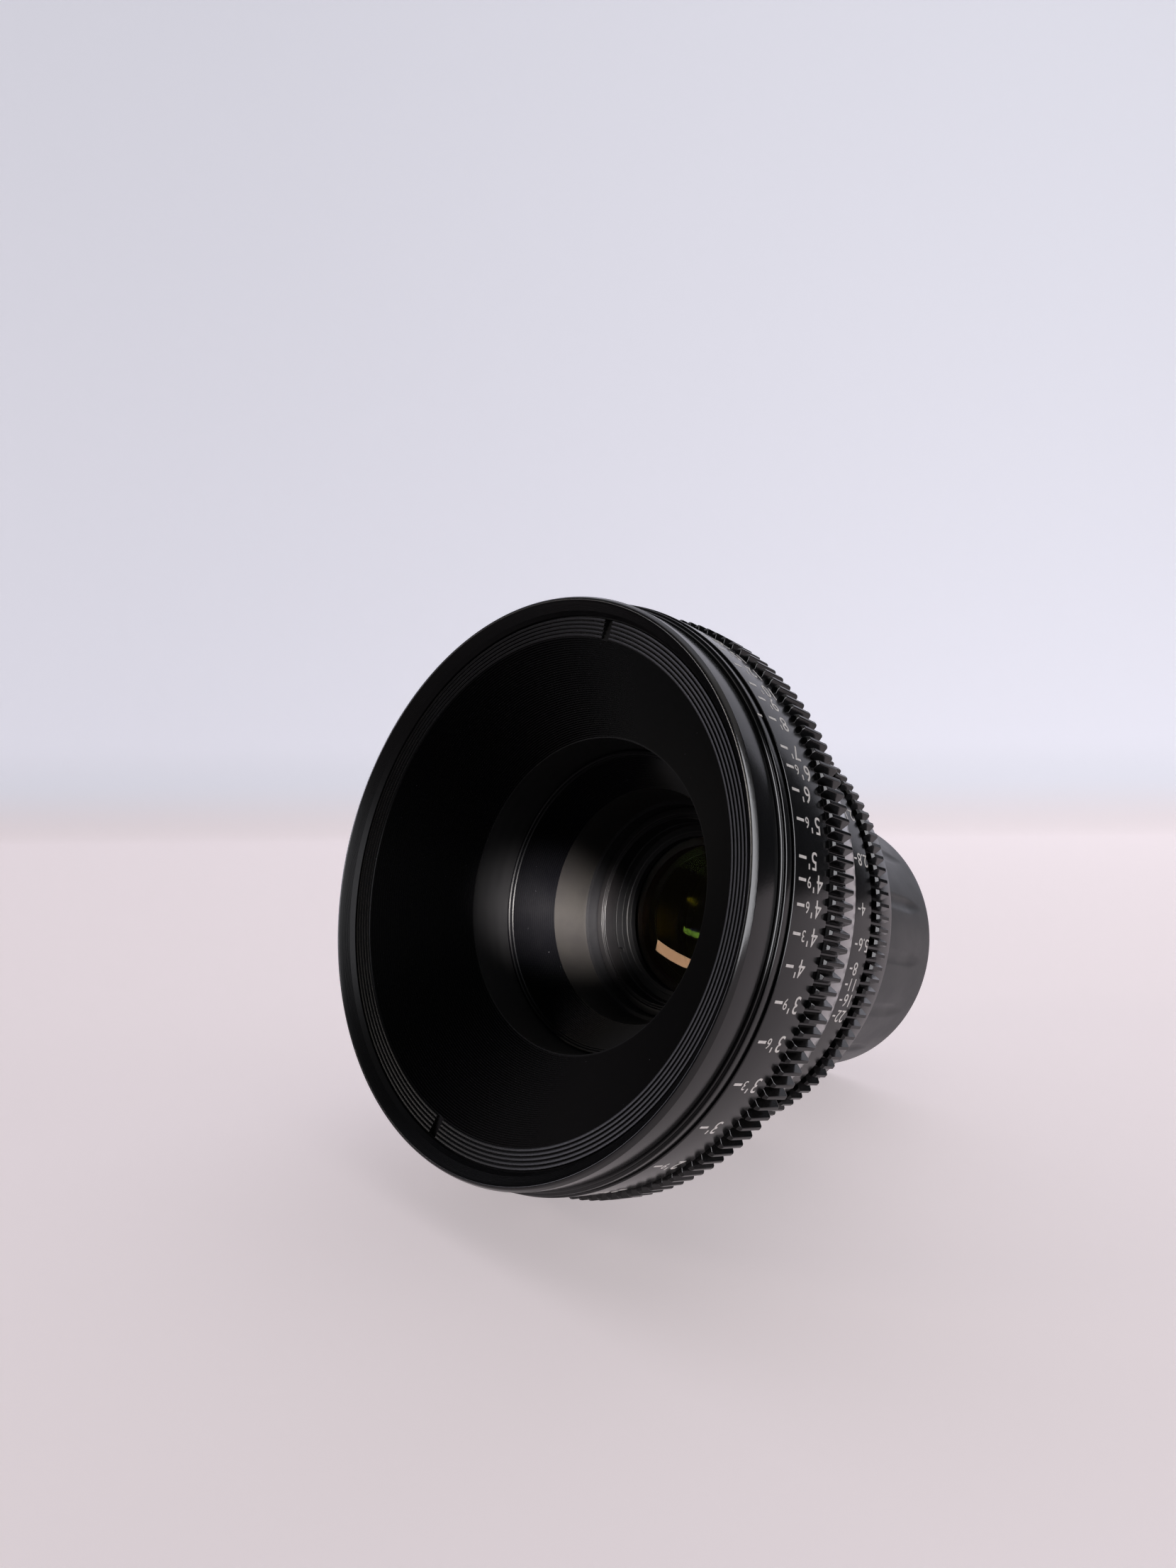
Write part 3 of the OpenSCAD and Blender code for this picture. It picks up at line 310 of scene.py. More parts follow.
def eased(points, size=0.12):
    """A closed profile with each corner rounded as a deburred edge is. A third number is the wear there."""
    out = []
    count = len(points)
    for i, point in enumerate(points):
        here, wear = Vector(point[:2]), (point[2] if len(point) > 2 else 0.0)
        before = Vector(points[i - 1][:2]) - here
        after = Vector(points[(i + 1) % count][:2]) - here
        a = here + before.normalized() * min(size, before.length * 0.4)
        b = here + after.normalized() * min(size, after.length * 0.4)
        for t in (0.0, 0.33, 0.67, 1.0):
            p = a * (1 - t) ** 2 + here * 2 * t * (1 - t) + b * t * t
            out.append((p.x, p.y, wear))
    return out


def ribs(start, end, count, depth):
    """Saw-toothed ribs along a profile line, cut into its left-hand side."""
    start, end = Vector(start), Vector(end)
    run = end - start
    side = Vector((-run.y, run.x)).normalized() * depth
    out = []
    for i in range(count):
        out.append(tuple(start + run * (i / count)))
        out.append(tuple(start + run * ((i + 0.55) / count) + side))
    return out


def finish_mesh(name, mesh_data, material, body, nodes=(), wear=None):
    """Makes a piece from a bmesh, with hard edges kept crisp, and sets it on its body."""
    bmesh.ops.recalc_face_normals(mesh_data, faces=mesh_data.faces)
    for edge in mesh_data.edges:
        edge.smooth = len(edge.link_faces) == 2 and edge.calc_face_angle(0.0) < SHARP
    for face in mesh_data.faces:
        face.smooth = True
    mesh = bpy.data.meshes.new(name)
    mesh_data.to_mesh(mesh)
    mesh_data.free()
    piece = bpy.data.objects.new(name, mesh)
    bpy.context.scene.collection.objects.link(piece)
    mesh.materials.append(material)
    if wear is not None:
        layer = mesh.attributes.new("wear", "FLOAT", "POINT")
        layer.data.foreach_set("value", wear)
    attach(piece, body)
    if nodes:
        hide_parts(*nodes)
    return piece


def turned(name, profile, material, body, nodes=(), clocks=None, form=None, rub=None):
    """A closed profile turned about the axis. form(r, h, clock) may move a point, and rub(clock, wear)
    changes the wear on it."""
    clocks = clocks or even_clocks()
    work = bmesh.new()
    wear, rings, poles = [], [], {}
    for clock in clocks:
        ring = []
        for index, point in enumerate(profile):
            r, h = point[:2]
            amount = point[2] if len(point) > 2 else 0.0
            if r == 0.0 and index in poles:
                ring.append(poles[index])
                continue
            if form:
                r, h = form(r, h, clock)
            vertex = work.verts.new(spot(r, clock, h))
            if r == 0.0:
                poles[index] = vertex
            wear.append(rub(clock, amount) if rub else amount)
            ring.append(vertex)
        rings.append(ring)
    for i, ring in enumerate(rings):
        other = rings[(i + 1) % len(rings)]
        for k in range(len(profile)):
            m = (k + 1) % len(profile)
            corners = []
            for vertex in (ring[k], ring[m], other[m], other[k]):
                if vertex not in corners:
                    corners.append(vertex)
            if len(corners) > 2:
                work.faces.new(corners)
    return finish_mesh(name, work, material, body, nodes, wear)


def refinish(piece, material, low, high, inside):
    """Gives the faces of a turned piece inside a radius, between two heights, a finish of their own."""
    piece.data.materials.append(material)
    last = len(piece.data.materials) - 1
    for face in piece.data.polygons:
        if low * MM < -face.center.y < high * MM and math.hypot(face.center.x, face.center.z) < inside * MM:
            face.material_index = last


# Teeth: module and flank angle, chamfers at both ends, the plain ring's step, deburring and rubbed tips
MODULE, FLANK, LEAD_IN, BACK_IN, STEP = 0.8, 20, 0.5, 0.3, 0.02
DEBURR, DEBURR_FROM, TIP_WEAR = 0.11, 24, 0.36


def gear(name, teeth, bore, bottom, face, top, body, nodes):
    """A ring of straight-flanked teeth, chamfered at both ends. The teeth start at the height face, and a
    plain ring runs on to the top."""
    pitch_r = MODULE * teeth / 2
    tip, root = MODULE * (teeth / 2 + 1), MODULE * (teeth / 2 - 1.25)
    half, slope = math.pi * MODULE / 4, math.tan(math.radians(FLANK))

    def corners(crown):
        """Radius and clock angle of the four corners of every tooth."""
        return [(r, i * 360 / teeth + side * math.degrees((half - (r - pitch_r) * slope) / r))
                for i in range(teeth) for r, side in ((root, -1), (crown, -1), (crown, 1), (root, 1))]

    levels = [(bottom, tip - BACK_IN), (bottom + BACK_IN, tip), (face - LEAD_IN, tip), (face, tip - LEAD_IN)]
    if top > face:
        levels += [(face, root + STEP), (top, root + STEP)]
    work = bmesh.new()
    wear, loops = [], []
    for h, crown in levels:
        loop = []
        for r, clock in corners(crown):
            loop.append(work.verts.new(spot(r, clock, h)))
            wear.append(TIP_WEAR if r == crown and h > bottom + 1 else 0.0)
        loops.append(loop)
    inner = [[work.verts.new(spot(bore, clock, h)) for _, clock in corners(tip)] for h in (bottom, top)]
    wear += [0.0] * (len(inner[0]) + len(inner[1]))
    chain = [inner[0]] + loops + [inner[1], inner[0]]
    count = 4 * teeth
    for a, b in zip(chain, chain[1:]):
        for i in range(count):
            k = (i + 1) % count
            work.faces.new((a[i], a[k], b[k], b[i]))
    piece = finish_mesh(name, work, GEAR_BLACK, body, nodes, wear)
    soften = piece.modifiers.new("deburred", "BEVEL")
    soften.width = DEBURR * MM
    soften.segments = 2
    soften.limit_method = "ANGLE"
    soften.angle_limit = math.radians(DEBURR_FROM)


LENS_STEPS, LENS_SEGMENTS = 18, 144


def lens(name, semi, front, rear, thick, vertex, front_coat, rear_coat):
    """A polished element: two spherical faces, each with its own coating, and a ground edge. Zero is a flat
    face."""
    def sag(radius, r):
        if radius == 0:
            return 0.0
        return math.copysign(abs(radius) - math.sqrt(radius * radius - r * r), radius)

    radii = [semi * i / LENS_STEPS for i in range(LENS_STEPS + 1)]
    faces = [(r, vertex - sag(front, r)) for r in radii]
    faces += [(r, vertex - thick - sag(rear, r)) for r in reversed(radii)]
    piece = turned(name + "_fine", faces, front_coat, "optical_unit", (name,),
                   even_clocks(LENS_SEGMENTS))
    piece.data.materials.append(rear_coat)
    piece.data.materials.append(INNER)
    for face in piece.data.polygons:
        polished = abs(face.normal.y) > 0.2
        face.material_index = (1 if face.normal.y > 0 else 0) if polished else 2


# Engraving paint stands this far out of the metal and reaches as far into it
PAINT = 0.04


def figure(words, size, narrow=0.9):
    """Vertices and faces of a line of generic dial figures, centred, in millimetres, a little thick and
    narrow."""
    curve = bpy.data.curves.new("figure", "FONT")
    curve.body = words
    curve.size = size
    curve.extrude = PAINT
    curve.resolution_u = 6
    text = bpy.data.objects.new("figure", curve)
    bpy.context.scene.collection.objects.link(text)
    graph = bpy.context.evaluated_depsgraph_get()
    mesh = text.evaluated_get(graph).to_mesh()
    points = [tuple(v.co) for v in mesh.vertices]
    faces = [tuple(p.vertices) for p in mesh.polygons]
    text.evaluated_get(graph).to_mesh_clear()
    bpy.data.objects.remove(text)
    bpy.data.curves.remove(curve)
    low = [min(p[i] for p in points) for i in (0, 1)]
    high = [max(p[i] for p in points) for i in (0, 1)]
    middle = [(a + b) / 2 for a, b in zip(low, high)]
    return [((x - middle[0]) * narrow, y - middle[1], z) for x, y, z in points], faces


def dash(length, width):
    """Vertices and faces of an engraved line along the axis, in millimetres, a little thick."""
    points = [(x, y, z) for z in (-PAINT, PAINT) for y in (-width / 2, width / 2)
              for x in (-length / 2, length / 2)]
    faces = [(0, 2, 3, 1), (4, 5, 7, 6), (0, 1, 5, 4), (2, 6, 7, 3), (0, 4, 6, 2), (1, 3, 7, 5)]
    return points, faces


def engraved(name, marks, surface, body):
    """Engraved marks wrapped on a turned surface. Each is (shape, clock, height): the figures read towards
    the front, with their tops towards smaller clock angles. surface(h) is the radius there."""
    work = bmesh.new()
    for (points, faces), clock, h in marks:
        made = []
        for x, y, z in points:
            r = surface(h + x)
            made.append(work.verts.new(spot(r + z, clock - math.degrees(y / r), h + x)))
        for face in faces:
            work.faces.new([made[i] for i in face])
    bmesh.ops.remove_doubles(work, verts=work.verts, dist=1e-7)
    finish_mesh(name, work, FIGURES, body)


# Housing

# The rim: a bevelled lip, a tapered step and a finely grooved cone. Its rear corner stays sharp.
RIM_CONE, RIM_GROOVES, RIM_CORNER = ((55.5, 79.2), (54.3, 78.2)), 6, (53.53, 73.3)
front_ring = [RIM_CORNER]
front_ring += eased([RIM_CORNER, (56.8, 73.3), (57.0, 73.5), (57.0, 79.0, 0.2), (56.6, 79.8, 0.3),
                     (56.4, 80.0, 0.2), (56.0, 80.0)], 0.08)[4:]
for i in range(RIM_GROOVES):
    t = i / RIM_GROOVES
    r, h = (RIM_CONE[0][k] + (RIM_CONE[1][k] - RIM_CONE[0][k]) * t for k in (0, 1))
    front_ring += [(r, h), (r - 0.14, h - 0.117), (r - 0.17, h - 0.18), (r - 0.2, h - 0.167)]
front_ring += [RIM_CONE[1], (53.75, 77.2), (53.75, 76.7), (53.53, 76.7)]
# Clock angle of the rim's brightest bare metal, on the window side: partly wear, partly painted highlight
HIGHLIGHT_RUB_AT = 8


def rim_rub(clock, amount):
    """The rim shows bare metal most on the side that faces the window: partly wear, partly a painted
    highlight.
    """
    swing = 0.5 + 0.5 * math.cos(math.radians(clock - HIGHLIGHT_RUB_AT))
    return amount * (0.5 + 0.5 * swing ** 3)


rim_piece = turned("front_ring_fine", front_ring, BLACK, "housing", ("front_ring",),
                   rub=rim_rub)
refinish(rim_piece, BAFFLE, 76.6, 79.95, 55.98)
turned("index_ring_fine",
       eased([(53.53, 71.0), (58.0, 71.0, 0.2), (58.0, 72.5, 0.25), (57.9, 72.6, 0.25), (57.45, 72.6),
              (57.45, 73.05, 0.2), (57.3, 73.2, 0.2), (56.3, 73.2), (56.3, 73.3), (53.53, 73.3)], 0.04),
       BLACK, "housing", ("index_ring",))

# The baffle: flat ridges on an annulus with two slots, a ribbed cone and a smooth band
RIDGES, RIDGE_FROM, RIDGE_PITCH, RIDGE_FALL = 5, (53.45, 77.0), 0.8, 0.13
CONE_FROM, CONE_TO, CONE_RIBS, CONE_RIB_DEPTH = (49.4, 76.1), (32.7, 60.0), 46, 0.27
SPANNER, SPANNER_HALF = (80.0, 260.0), 1.15


def spanner_slots(r, h, clock):
    """Two slots for a pin spanner are milled across the grooved annulus."""
    if r > CONE_FROM[0] and h > 75.9 and within(clock, SPANNER, SPANNER_HALF):
        return r, CONE_FROM[1]
    return r, h


baffle = []
for i in range(RIDGES):
    r, h = RIDGE_FROM[0] - RIDGE_PITCH * i, RIDGE_FROM[1] - RIDGE_FALL * i
    baffle += [(r, h - 0.06), (r - 0.1, h), (r - 0.45, h - 0.07), (r - 0.55, h - 0.14), (r - 0.62, h - 0.4),
               (r - 0.72, h - 0.4)]
baffle += ribs(CONE_FROM, CONE_TO, CONE_RIBS, CONE_RIB_DEPTH)
baffle += [CONE_TO, (32.7, 54.5), (32.7, 48.5), (34.0, 48.5), (34.0, 59.5), (50.85, 75.6), (53.5, 75.6)]
baffle_piece = turned("baffle_cone_fine", baffle, BAFFLE, "housing", ("baffle_cone",),
                      cut_clocks(SPANNER, SPANNER_HALF), spanner_slots)
refinish(baffle_piece, BAND, 48.6, 59.99, 33.2)
refinish(baffle_piece, GROOVED, 76.2, 77.2, 53.6)

turned("cone_ring_fine",
       eased([(43.55, 36.3), (44.85, 36.3), (44.85, 39.8), (52.1, 39.8, 0.2), (52.3, 40.1, 0.2), (57.0, 52.8),
              (56.7, 53.1, 0.25), (54.6, 53.1), (49.7, 42.2), (43.55, 42.2)]),
       CONE_BLACK, "housing", ("cone_ring",))
turned("rear_barrel_fine",
       eased([(32.0, 9.3), (43.2, 9.3, 0.3), (44.0, 10.1, 0.36), (44.8, 17.5, 0.3), (43.5, 17.5),
              (43.5, 39.5), (39.98, 39.5), (39.98, 30.0), (38.6, 30.0), (38.6, 15.0), (32.0, 15.0)]),
       BLACK, "housing", ("rear_barrel",))

TABS, TAB_HALF, NECK_R = (0.0, 90.0, 180.0, 270.0), 25.0, 31.6


def bayonet_tabs(r, h, clock):
    """Four tabs are left between the milled gaps of the mount's seat disc."""
    if r > NECK_R and h < 3.0 and not within(clock, TABS, TAB_HALF):
        return NECK_R, h
    return r, h


mount = eased([(25.0, -28.0), (26.4, -28.0), (27.0, -27.4), (27.0, -0.2)], 0.1)
mount += eased([(27.0, 0.0), (35.0, 0.0), (35.0, 2.6), (31.2, 2.6), (31.2, 6.6), (37.0, 6.6), (37.0, 9.0),
                (29.5, 9.0), (29.5, 2.6), (25.0, 2.6)], 0.1)
mount_flange = turned("mount_flange_fine", mount, STEEL, "housing", ("mount_flange",),
                      cut_clocks(TABS, TAB_HALF, 0.03), bayonet_tabs)


def drilled(piece, r, depth_from, depth_to, at_r, clocks):
    """Cuts round counterbores along the axis into a piece."""
    work = bmesh.new()
    for clock in clocks:
        centre = spot(at_r, clock, (depth_from + depth_to) / 2)
        turn = Matrix.Translation(centre) @ Matrix.Rotation(math.pi / 2, 4, "X")
        bmesh.ops.create_cone(work, cap_ends=True, segments=32, radius1=r * MM, radius2=r * MM,
                              depth=abs(depth_to - depth_from) * MM, matrix=turn)
    mesh = bpy.data.meshes.new("drill")
    work.to_mesh(mesh)
    work.free()
    drill = bpy.data.objects.new("drill", mesh)
    bpy.context.scene.collection.objects.link(drill)
    cut = piece.modifiers.new("counterbores", "BOOLEAN")
    cut.object = drill
    cut.operation = "DIFFERENCE"
    cut.solver = "EXACT"
    graph = bpy.context.evaluated_depsgraph_get()
    result = bpy.data.meshes.new_from_object(piece.evaluated_get(graph))
    piece.modifiers.clear()
    piece.data = result
    bpy.data.objects.remove(drill)


drilled(mount_flange, 2.13, 6.4, 7.8, 34.2, [tab + 45 for tab in TABS])

# Focus ring

FOCUS_R = 58.4
turned("focus_scale_fine",
       eased([(54.0, 57.0), (54.0, 70.7), (58.28, 70.7, 0.2), (FOCUS_R, 70.58, 0.3), (FOCUS_R, 60.1, 0.2),
              (58.2, 59.9, 0.25), (56.4, 59.9), (56.4, 53.4), (51.8, 53.4), (51.8, 55.25), (47.95, 55.25),
              (47.95, 57.0)], 0.08),
       BLACK, "focus_ring", ("focus_scale_ring",))
gear("focus_gear_fine", 147, 56.43, 53.4, 59.9, 59.9, "focus_ring", ("focus_gear",))

# Feet and inches of each engraved distance. The focal length and the foot are in millimetres, and the rate is
# in degrees of the ring for a millimetre of the lens's travel.
DISTANCES = [(20, 0), (15, 0), (12, 0), (10, 0), (9, 0), (8, 0), (7, 0), (6, 6), (6, 0), (5, 6), (5, 0),
             (4, 9), (4, 6), (4, 3), (4, 0), (3, 9), (3, 6), (3, 3), (3, 0), (2, 9), (2, 6), (2, 3), (2, 0),
             (1, 9), (1, 6)]
FOCAL, FOOT, SCALE_RATE, REST_FEET, REST_CLOCK = 50.0, 304.8, 36.9, 8.0, 39.0


def distance_clock(feet):
    """Clock angle of a distance, as the thin-lens law sets it."""
    def extension(mm):
        return FOCAL * FOCAL / (mm - 2 * FOCAL)
    return REST_CLOCK - SCALE_RATE * (extension(feet * FOOT) - extension(REST_FEET * FOOT))


# Sizes of the figures in millimetres, and the degrees that they and the foot mark stand off their line. The
# feet stand nearer the line where there are no inches.
FEET_TALL, INCHES_TALL, FIGURE_OFF, FOOT_MARK_OFF = 4.5, 2.8, 0.2, 1.3
focus_marks = []
for feet, inches in DISTANCES:
    clock = distance_clock(feet + inches / 12)
    focus_marks.append((dash(2.2, 0.5), clock, 68.4))
    if inches:
        focus_marks.append((figure(str(inches), INCHES_TALL), clock - FIGURE_OFF, 66.3))
        foot_mark_at, feet_at = 64.9, 63.0
    else:
        foot_mark_at, feet_at = 66.4, 64.8 if feet < 10 else 63.6
    focus_marks.append((dash(0.34, 0.95), clock - FOOT_MARK_OFF, foot_mark_at))
    focus_marks.append((figure(str(feet), FEET_TALL), clock - FIGURE_OFF, feet_at))
engraved("focus_scale_figures", focus_marks, lambda h: FOCUS_R, "focus_ring")

# Iris ring and the fixed index marks

IRIS_R, OPEN_CLOCK = 46.6, 35.5


def cone_surface(h):
    """Radius of the fixed cone ring at a height."""
    return 52.3 + (57.0 - 52.3) * (h - 40.1) / (52.8 - 40.1)


turned("iris_scale_fine",
       eased([(43.55, 17.8), (44.6, 17.8), (44.6, 23.4), (46.4, 23.4, 0.2), (IRIS_R, 23.6, 0.25),
              (IRIS_R, 39.2, 0.2), (46.3, 39.5, 0.2), (45.15, 39.5), (45.15, 36.0), (43.55, 36.0)], 0.08),
       BLACK, "iris_ring", ("iris_scale_ring",))
gear("iris_gear_fine", 117, 44.63, 17.8, 22.4, 23.4, "iris_ring", ("iris_gear",))

# Aperture, clock angle and height of each figure
iris_marks = []
for words, clock, middle in (("2.1", OPEN_CLOCK, 25.6), ("2.8", 22.9, 25.6), ("4", 10.3, 26.8),
                             ("5.6", 1.75, 25.6), ("8", -4.25, 26.8), ("11", -8.25, 26.2),
                             ("16", -12.25, 26.1), ("22", -16.5, 26.1)):
    iris_marks.append((dash(1.0, 0.36), clock, 28.45))
    iris_marks.append((figure(words, 3.8, 0.85), clock, middle))
engraved("iris_scale_figures", iris_marks, lambda h: IRIS_R, "iris_ring")
engraved("focus_index", [(dash(1.3, 0.42), REST_CLOCK, 71.75)], lambda h: 58.0, "housing")
engraved("iris_index", [(dash(2.6, 0.42), OPEN_CLOCK, 42.0)], cone_surface, "housing")

# Moving optics, seen from the front and, with the cap off, from the rear

# The moving hood: two beads on its lip, ribs, then a smooth tube
hood = [(32.2, 50.0), (31.95, 49.95), (31.72, 49.75), (31.7, 49.6), (31.85, 49.5), (31.85, 49.35),
        (31.5, 49.25), (31.35, 49.05), (31.35, 48.95), (31.5, 48.85)]
hood += ribs((31.25, 48.8), (25.9, 41.0), 20, 0.25)
hood += [(25.9, 41.0), (25.86, 40.4), (25.1, 31.0), (27.1, 31.0), (27.1, 39.5), (32.35, 45.5),
         (32.35, 50.0)]
hood_piece = turned("front_hood_fine", hood, BAFFLE, "optical_unit", ("front_hood",))
refinish(hood_piece, SATIN, 30.0, 40.95, 26.2)
turned("front_cell_fine",
       eased([(12.7, 6.4), (24.0, 6.4), (24.0, 28.1), (22.5, 28.1), (22.35, 27.6), (21.85, 27.6),
              (21.8, 28.1), (21.45, 28.1), (21.45, 20.55), (19.65, 20.55), (19.65, 18.6), (16.05, 18.6),
              (16.05, 12.6), (13.55, 12.6), (13.55, 7.4), (12.7, 7.4)], 0.08),
       CELL, "optical_unit", ("front_cell",))

RETAINER_SLOTS, RETAINER_HALF, RETAINER_CUT = (35.0, 215.0), 1.7, 1.4


def retainer_slots(r, h, clock):
    """Two short slots for a pin spanner are milled in the retaining ring's front face."""
    if h > 23.0 and within(clock, RETAINER_SLOTS, RETAINER_HALF):
        return r, h - RETAINER_CUT
    return r, h


turned("front_retainer_fine",
       eased([(18.3, 20.55), (21.4, 20.55), (21.4, 24.55), (20.95, 24.55), (20.8, 22.5), (19.45, 22.5),
              (19.3, 22.3), (18.3, 22.2)], 0.07),
       INNER, "optical_unit", ("front_retainer",),
       cut_clocks(RETAINER_SLOTS, RETAINER_HALF), retainer_slots)
turned("rear_cell_fine",
       eased([(12.05, 0.0), (12.05, -9.05), (11.3, -9.05), (11.3, -10.8), (13.05, -10.8), (13.05, -19.6),
              (20.0, -19.6), (20.0, -1.2), (22.0, -1.2), (22.0, 0.0)], 0.08),
       INNER, "optical_unit", ("rear_cell",))
turned("rear_retainer_fine",
       eased([(11.5, -19.4), (13.0, -19.4), (13.0, -17.7), (11.5, -17.7)], 0.08),
       INNER, "optical_unit", ("rear_retainer",))

# Half width, radii of the front and rear faces, thickness, height of the front vertex, and both coats
for element in (
        ("lens_1", 19.6, 46.0, 200.0, 4.6, 24.2, GLASS_YELLOW, GLASS_PINK),
        ("lens_2", 16.0, 27.0, 70.0, 4.6, 19.1, GLASS_VIOLET, GLASS_GREEN),
        ("lens_3", 13.5, 90.0, 20.0, 1.4, 14.0, GLASS_VIOLET, GLASS_VIOLET),
        ("lens_4", 12.0, -18.5, 0.0, 1.5, -4.8, GLASS_VIOLET, GLASS_VIOLET),
        ("lens_5", 12.0, 0.0, -28.0, 5.0, -6.3, GLASS_VIOLET, GLASS_VIOLET),
        ("lens_6", 13.0, -90.0, -36.0, 3.4, -11.8, GLASS_VIOLET, GLASS_GREEN),
        ("lens_7", 13.0, 120.0, -70.0, 3.0, -15.6, GLASS_VIOLET, GLASS_PINK)):
    lens(*element)

# Rear cap

CAP_MOUTH, CAP_END = (34.4, -0.25), (32.5, -31.6)
FLUTES, FLUTE_R, FLUTE_DEPTH, FLUTE_STOP, FLUTE_FADE = 16, 3.8, 0.5, -28.2, 9.0
CAP_SEGMENTS, ON_SIDE = 28 * FLUTES, 0.06


def cap_side(h):
    """Radius of the cap's tapered side at a height."""
    t = (h - CAP_END[1]) / (CAP_MOUTH[1] - CAP_END[1])
    return CAP_END[0] + (CAP_MOUTH[0] - CAP_END[0]) * t


def flutes(r, h, clock):
    """Grip flutes are moulded down the cap's side and stop short of its closed end."""
    side = cap_side(h)
    if abs(r - side) > ON_SIDE or h < FLUTE_STOP:
        return r, h
    off = math.radians((clock + 180 / FLUTES) % (360 / FLUTES) - 180 / FLUTES)
    run = min(1.0, (h - FLUTE_STOP) / FLUTE_FADE)
    centre = side - FLUTE_DEPTH * run * run * (3 - 2 * run) + FLUTE_R
    under = FLUTE_R ** 2 - (centre * math.sin(off)) ** 2
    if under <= 0:
        return r, h
    return min(r, centre * math.cos(off) - math.sqrt(under)), h


cap = [(0.0, -32.0)] + [(r, -32.0) for r in (8.0, 16.0, 24.0, 31.6)]
cap += [(32.1, -32.0), (32.35, -31.9), (32.47, -31.75), (32.5, -31.55)]
cap += [(cap_side(h), h) for h in (-30.5, -29.0, -28.2, -27.5, -26.8, -26.1, -25.4, -24.7, -24.0, -23.3,
                                   -22.6, -21.9, -21.2, -20.5, -19.8, -19.2, -15.0, -10.0, -5.0, -1.2)]
cap += [(34.36, -0.55), (34.25, -0.32), (34.05, -0.25), (32.4, -0.25), (32.2, -0.4), (30.3, -30.0),
        (0.0, -30.0)]
turned("rear_cap_fine", cap, CAP, "rear_cap", ("rear_cap",),
       even_clocks(CAP_SEGMENTS), flutes)

# Finishes of the solids that stay as they are

KEPT_SOLIDS = {"guide_barrel": GUIDE, "front_carrier": INNER, "focus_stop_pin": SCREW, "mount_shim": STEEL,
               "mount_screws": SCREW, "helicoid_sleeve": BRASS, "focus_screws": SCREW, "lens_barrel": INNER,
               "followers": BRASS, "iris_housing": INNER, "rear_spacer": INNER, "iris_drive_pin": SCREW,
               "iris_cam_ring": BLADE}
for name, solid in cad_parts.items():
    material = BLADE if name.startswith("iris_blade") else KEPT_SOLIDS.get(name)
    if material:
        solid.data.materials.clear()
        solid.data.materials.append(material)

# Stage: the lens lies on its focus gear and the edge of its cap

GEAR_REST, CAP_REST, TABLE_GAP = (59.6, 53.7), CAP_END, 0.05
lean = math.atan2(GEAR_REST[0] - CAP_REST[0], GEAR_REST[1] - CAP_REST[1])
up = Vector((0.0, -math.sin(lean), math.cos(lean)))
foot = (Vector((0.0, -GEAR_REST[1], -GEAR_REST[0])).dot(up) - TABLE_GAP) * MM

# The camera's place and its directions, found by matching the photograph
EYE = Vector((154.05, -217.98, 2.81)) * MM
RIGHT = Vector((0.7043, 0.6790, 0.2073)).normalized()
DOWN = Vector((0.0865, 0.2078, -0.9743)).normalized()
AHEAD = RIGHT.cross(DOWN).normalized()
level = AHEAD - up * AHEAD.dot(up)
level.normalize()
across = level.cross(up).normalized()
under_eye = EYE - up * (EYE.dot(up) - foot)

# A table that bends up into a wall, in metres from under the camera. It ends short on the right, where the
# lens mirrors a dark room. Its tint fades over a low band. It glows with painted light, and painted shade
# darkens it to the left.
WALL_AT, BEND, BEND_STEPS, WIDE_LEFT, WIDE_RIGHT, WALL_TALL, NEAR = 0.64, 0.05, 12, 2.2, 0.75, 1.9, -0.9
# The last two numbers are the painted shade at the left, as a share of the glow, and the strength of the
# painted glow
FADE_TALL, DARK_AT, LIGHT_AT, PAINTED_LEFT_SHADE, PAINTED_GLOW = 0.03, -0.4, 0.3, 0.8, 0.6
sweep = [(NEAR, 0.0), (-0.4, 0.0), (0.0, 0.0), (0.3, 0.0), (WALL_AT - BEND, 0.0)]
for i in range(1, BEND_STEPS + 1):
    a = math.radians(90 * i / BEND_STEPS)
    sweep.append((WALL_AT - BEND + BEND * math.sin(a), BEND - BEND * math.cos(a)))
sweep += [(WALL_AT, 0.4), (WALL_AT, WALL_TALL)]
board = bmesh.new()
rows = []
for along, height in sweep:
    middle = under_eye + level * along + up * height
    rows.append([board.verts.new(middle + across * side)
                 for side in (-WIDE_LEFT, -0.8, 0.0, 0.4, WIDE_RIGHT)])
for a, b in zip(rows, rows[1:]):
    for i in range(len(a) - 1):
        board.faces.new((a[i], a[i + 1], b[i + 1], b[i]))
for face in board.faces:
    face.smooth = True
stage_mesh = bpy.data.meshes.new("stage_board")
board.to_mesh(stage_mesh)
board.free()
stage = bpy.data.objects.new("stage_board", stage_mesh)
bpy.context.scene.collection.objects.link(stage)
middle = under_eye.dot(across)
stage_mesh.materials.append(stage_paint("matt_white_board", "#E6DCDF", "#E2E4EE", tuple(up), foot,
                                        foot + FADE_TALL, tuple(across), middle + DARK_AT,
                                        middle + LIGHT_AT, PAINTED_LEFT_SHADE, PAINTED_GLOW))


# Lights and camera

LENS_MIDDLE, LAMP_FAR = Vector((0.0, -0.03, 0.0)), 1.2


def softbox(name, size, power, colour):
    """A rectangular soft light, still to be placed."""
    light = bpy.data.lights.new(name, "AREA")
    light.shape = "RECTANGLE"
    light.size, light.size_y = size
    light.energy = power
    light.color = linear(colour)[:3]
    lamp = bpy.data.objects.new(name, light)
    bpy.context.scene.collection.objects.link(lamp)
    return lamp


def shining(way):
    """Turn of a lamp that shines this way."""
    return way.to_track_quat("-Z", "Y").to_euler()


def hang(lamp, side, height, back):
    """Places a lamp right, up and back from the lens as the camera sees it, shining on the lens."""
    lamp.location = LENS_MIDDLE + across * side + up * height - level * back
    lamp.rotation_euler = shining(LENS_MIDDLE - lamp.location)


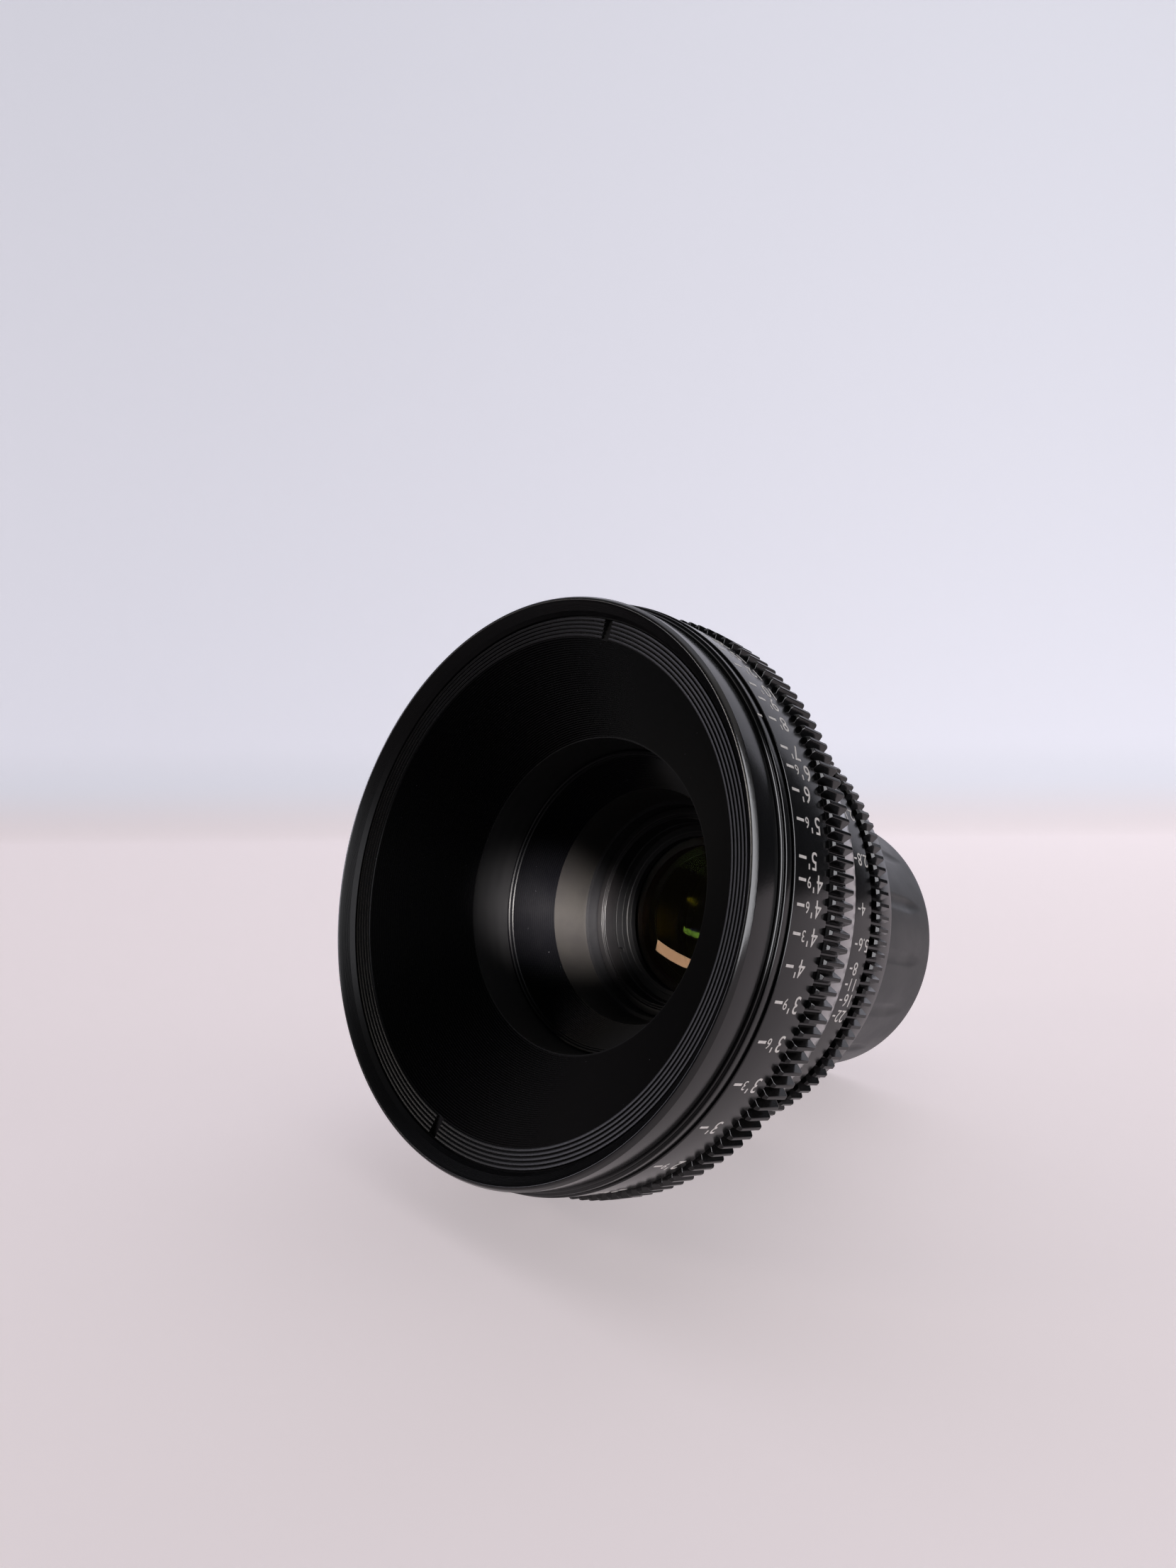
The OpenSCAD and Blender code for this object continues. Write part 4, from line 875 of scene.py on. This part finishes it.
ceiling = softbox("ceiling_panel", (1.3, 1.0), 2.4, "#FFFAF6")
hang(ceiling, 0.3, 1.3, -0.1)
side_fill = softbox("side_fill", (0.8, 0.8), 1.9, "#FFFCFA")
hang(side_fill, 1.2, 0.5, 0.1)
side_fill.visible_glossy = False
side_fill.visible_transmission = False

# A tall bright window on the right, seen only as a mirror image in polished edges
WINDOW_WAY, WINDOW_SIZE = Vector((0.95, -0.31, 0.0)), (1.36, 2.1)
window = softbox("window", WINDOW_SIZE, 80.0, "#FBFAFF")
window_foot = WINDOW_WAY - up * WINDOW_WAY.dot(up)
window.location = window_foot.normalized() * LAMP_FAR + up * (foot + 0.5 * WINDOW_SIZE[1])
window.rotation_euler = shining(-window_foot)
window.visible_diffuse = False
window.visible_transmission = False

# A pale screen on the left, seen only in the ridges inside the rim
SCREEN_WAY = Vector((-0.856, -0.519, 0.0))
screen = softbox("screen", (0.4, 0.3), 2.4, "#F4F0FF")
screen.location = SCREEN_WAY * LAMP_FAR
screen.rotation_euler = shining(-SCREEN_WAY)
screen.visible_diffuse = False
screen.visible_transmission = False

# A level strip lamp to the left, which the glass reflects
GLASS_AT, STRIP_WAY = Vector((0.0, -0.024, -0.008)), Vector((-0.595, -0.795, 0.122)).normalized()
strip = softbox("strip_lamp", (0.285, 0.042), 1.0, "#FFF6EC")
strip.location = GLASS_AT + STRIP_WAY * LAMP_FAR
sideways = STRIP_WAY.cross(up).normalized()
strip.rotation_euler = Matrix((sideways, STRIP_WAY.cross(sideways), STRIP_WAY)).transposed().to_euler()

# A narrow beam from the right into the hood, wider than it is tall
HOOD_AT, BEAM_WAY = Vector((-0.0258, -0.039, -0.007)), Vector((0.698, -0.669, 0.254)).normalized()
beam_light = bpy.data.lights.new("hood_beam", "SPOT")
beam_light.energy = 1900.0
beam_light.color = linear("#FFF8F3")[:3]
beam_light.spot_size = math.radians(1.1)
beam_light.spot_blend = 1.0
beam_light.shadow_soft_size = 0.008
beam = bpy.data.objects.new("hood_beam", beam_light)
bpy.context.scene.collection.objects.link(beam)
beam.location = HOOD_AT + BEAM_WAY * LAMP_FAR
beam.rotation_euler = shining(HOOD_AT - beam.location)
beam.scale = (1.6, 1.0, 1.0)
beam.visible_transmission = False

world = bpy.data.worlds.new("room")
bpy.context.scene.world = world
world.use_nodes = True
world.node_tree.nodes.clear()
sky = add(world.node_tree, "ShaderNodeBackground", {"Color": linear("#E6E9F4"), "Strength": 0.06})
add(world.node_tree, "ShaderNodeOutputWorld", links={"Surface": sky.outputs["Background"]})

# The camera's focal length and the longer side of the picture, both in its pixels
FOCAL_PIXELS, LONGER_SIDE, SENSOR = 1500.0, 2212.0, 36.0
camera_data = bpy.data.cameras.new("photograph")
camera_data.sensor_width = SENSOR
camera_data.lens = FOCAL_PIXELS / LONGER_SIDE * SENSOR
camera_data.clip_start = 0.005
camera_data.dof.use_dof = False
camera = bpy.data.objects.new("photograph", camera_data)
bpy.context.scene.collection.objects.link(camera)
turn = Matrix((RIGHT, -DOWN, -AHEAD)).transposed()
camera.matrix_world = Matrix.Translation(EYE) @ turn.to_4x4()
bpy.context.scene.camera = camera
bpy.context.scene.view_settings.view_transform = "Standard"
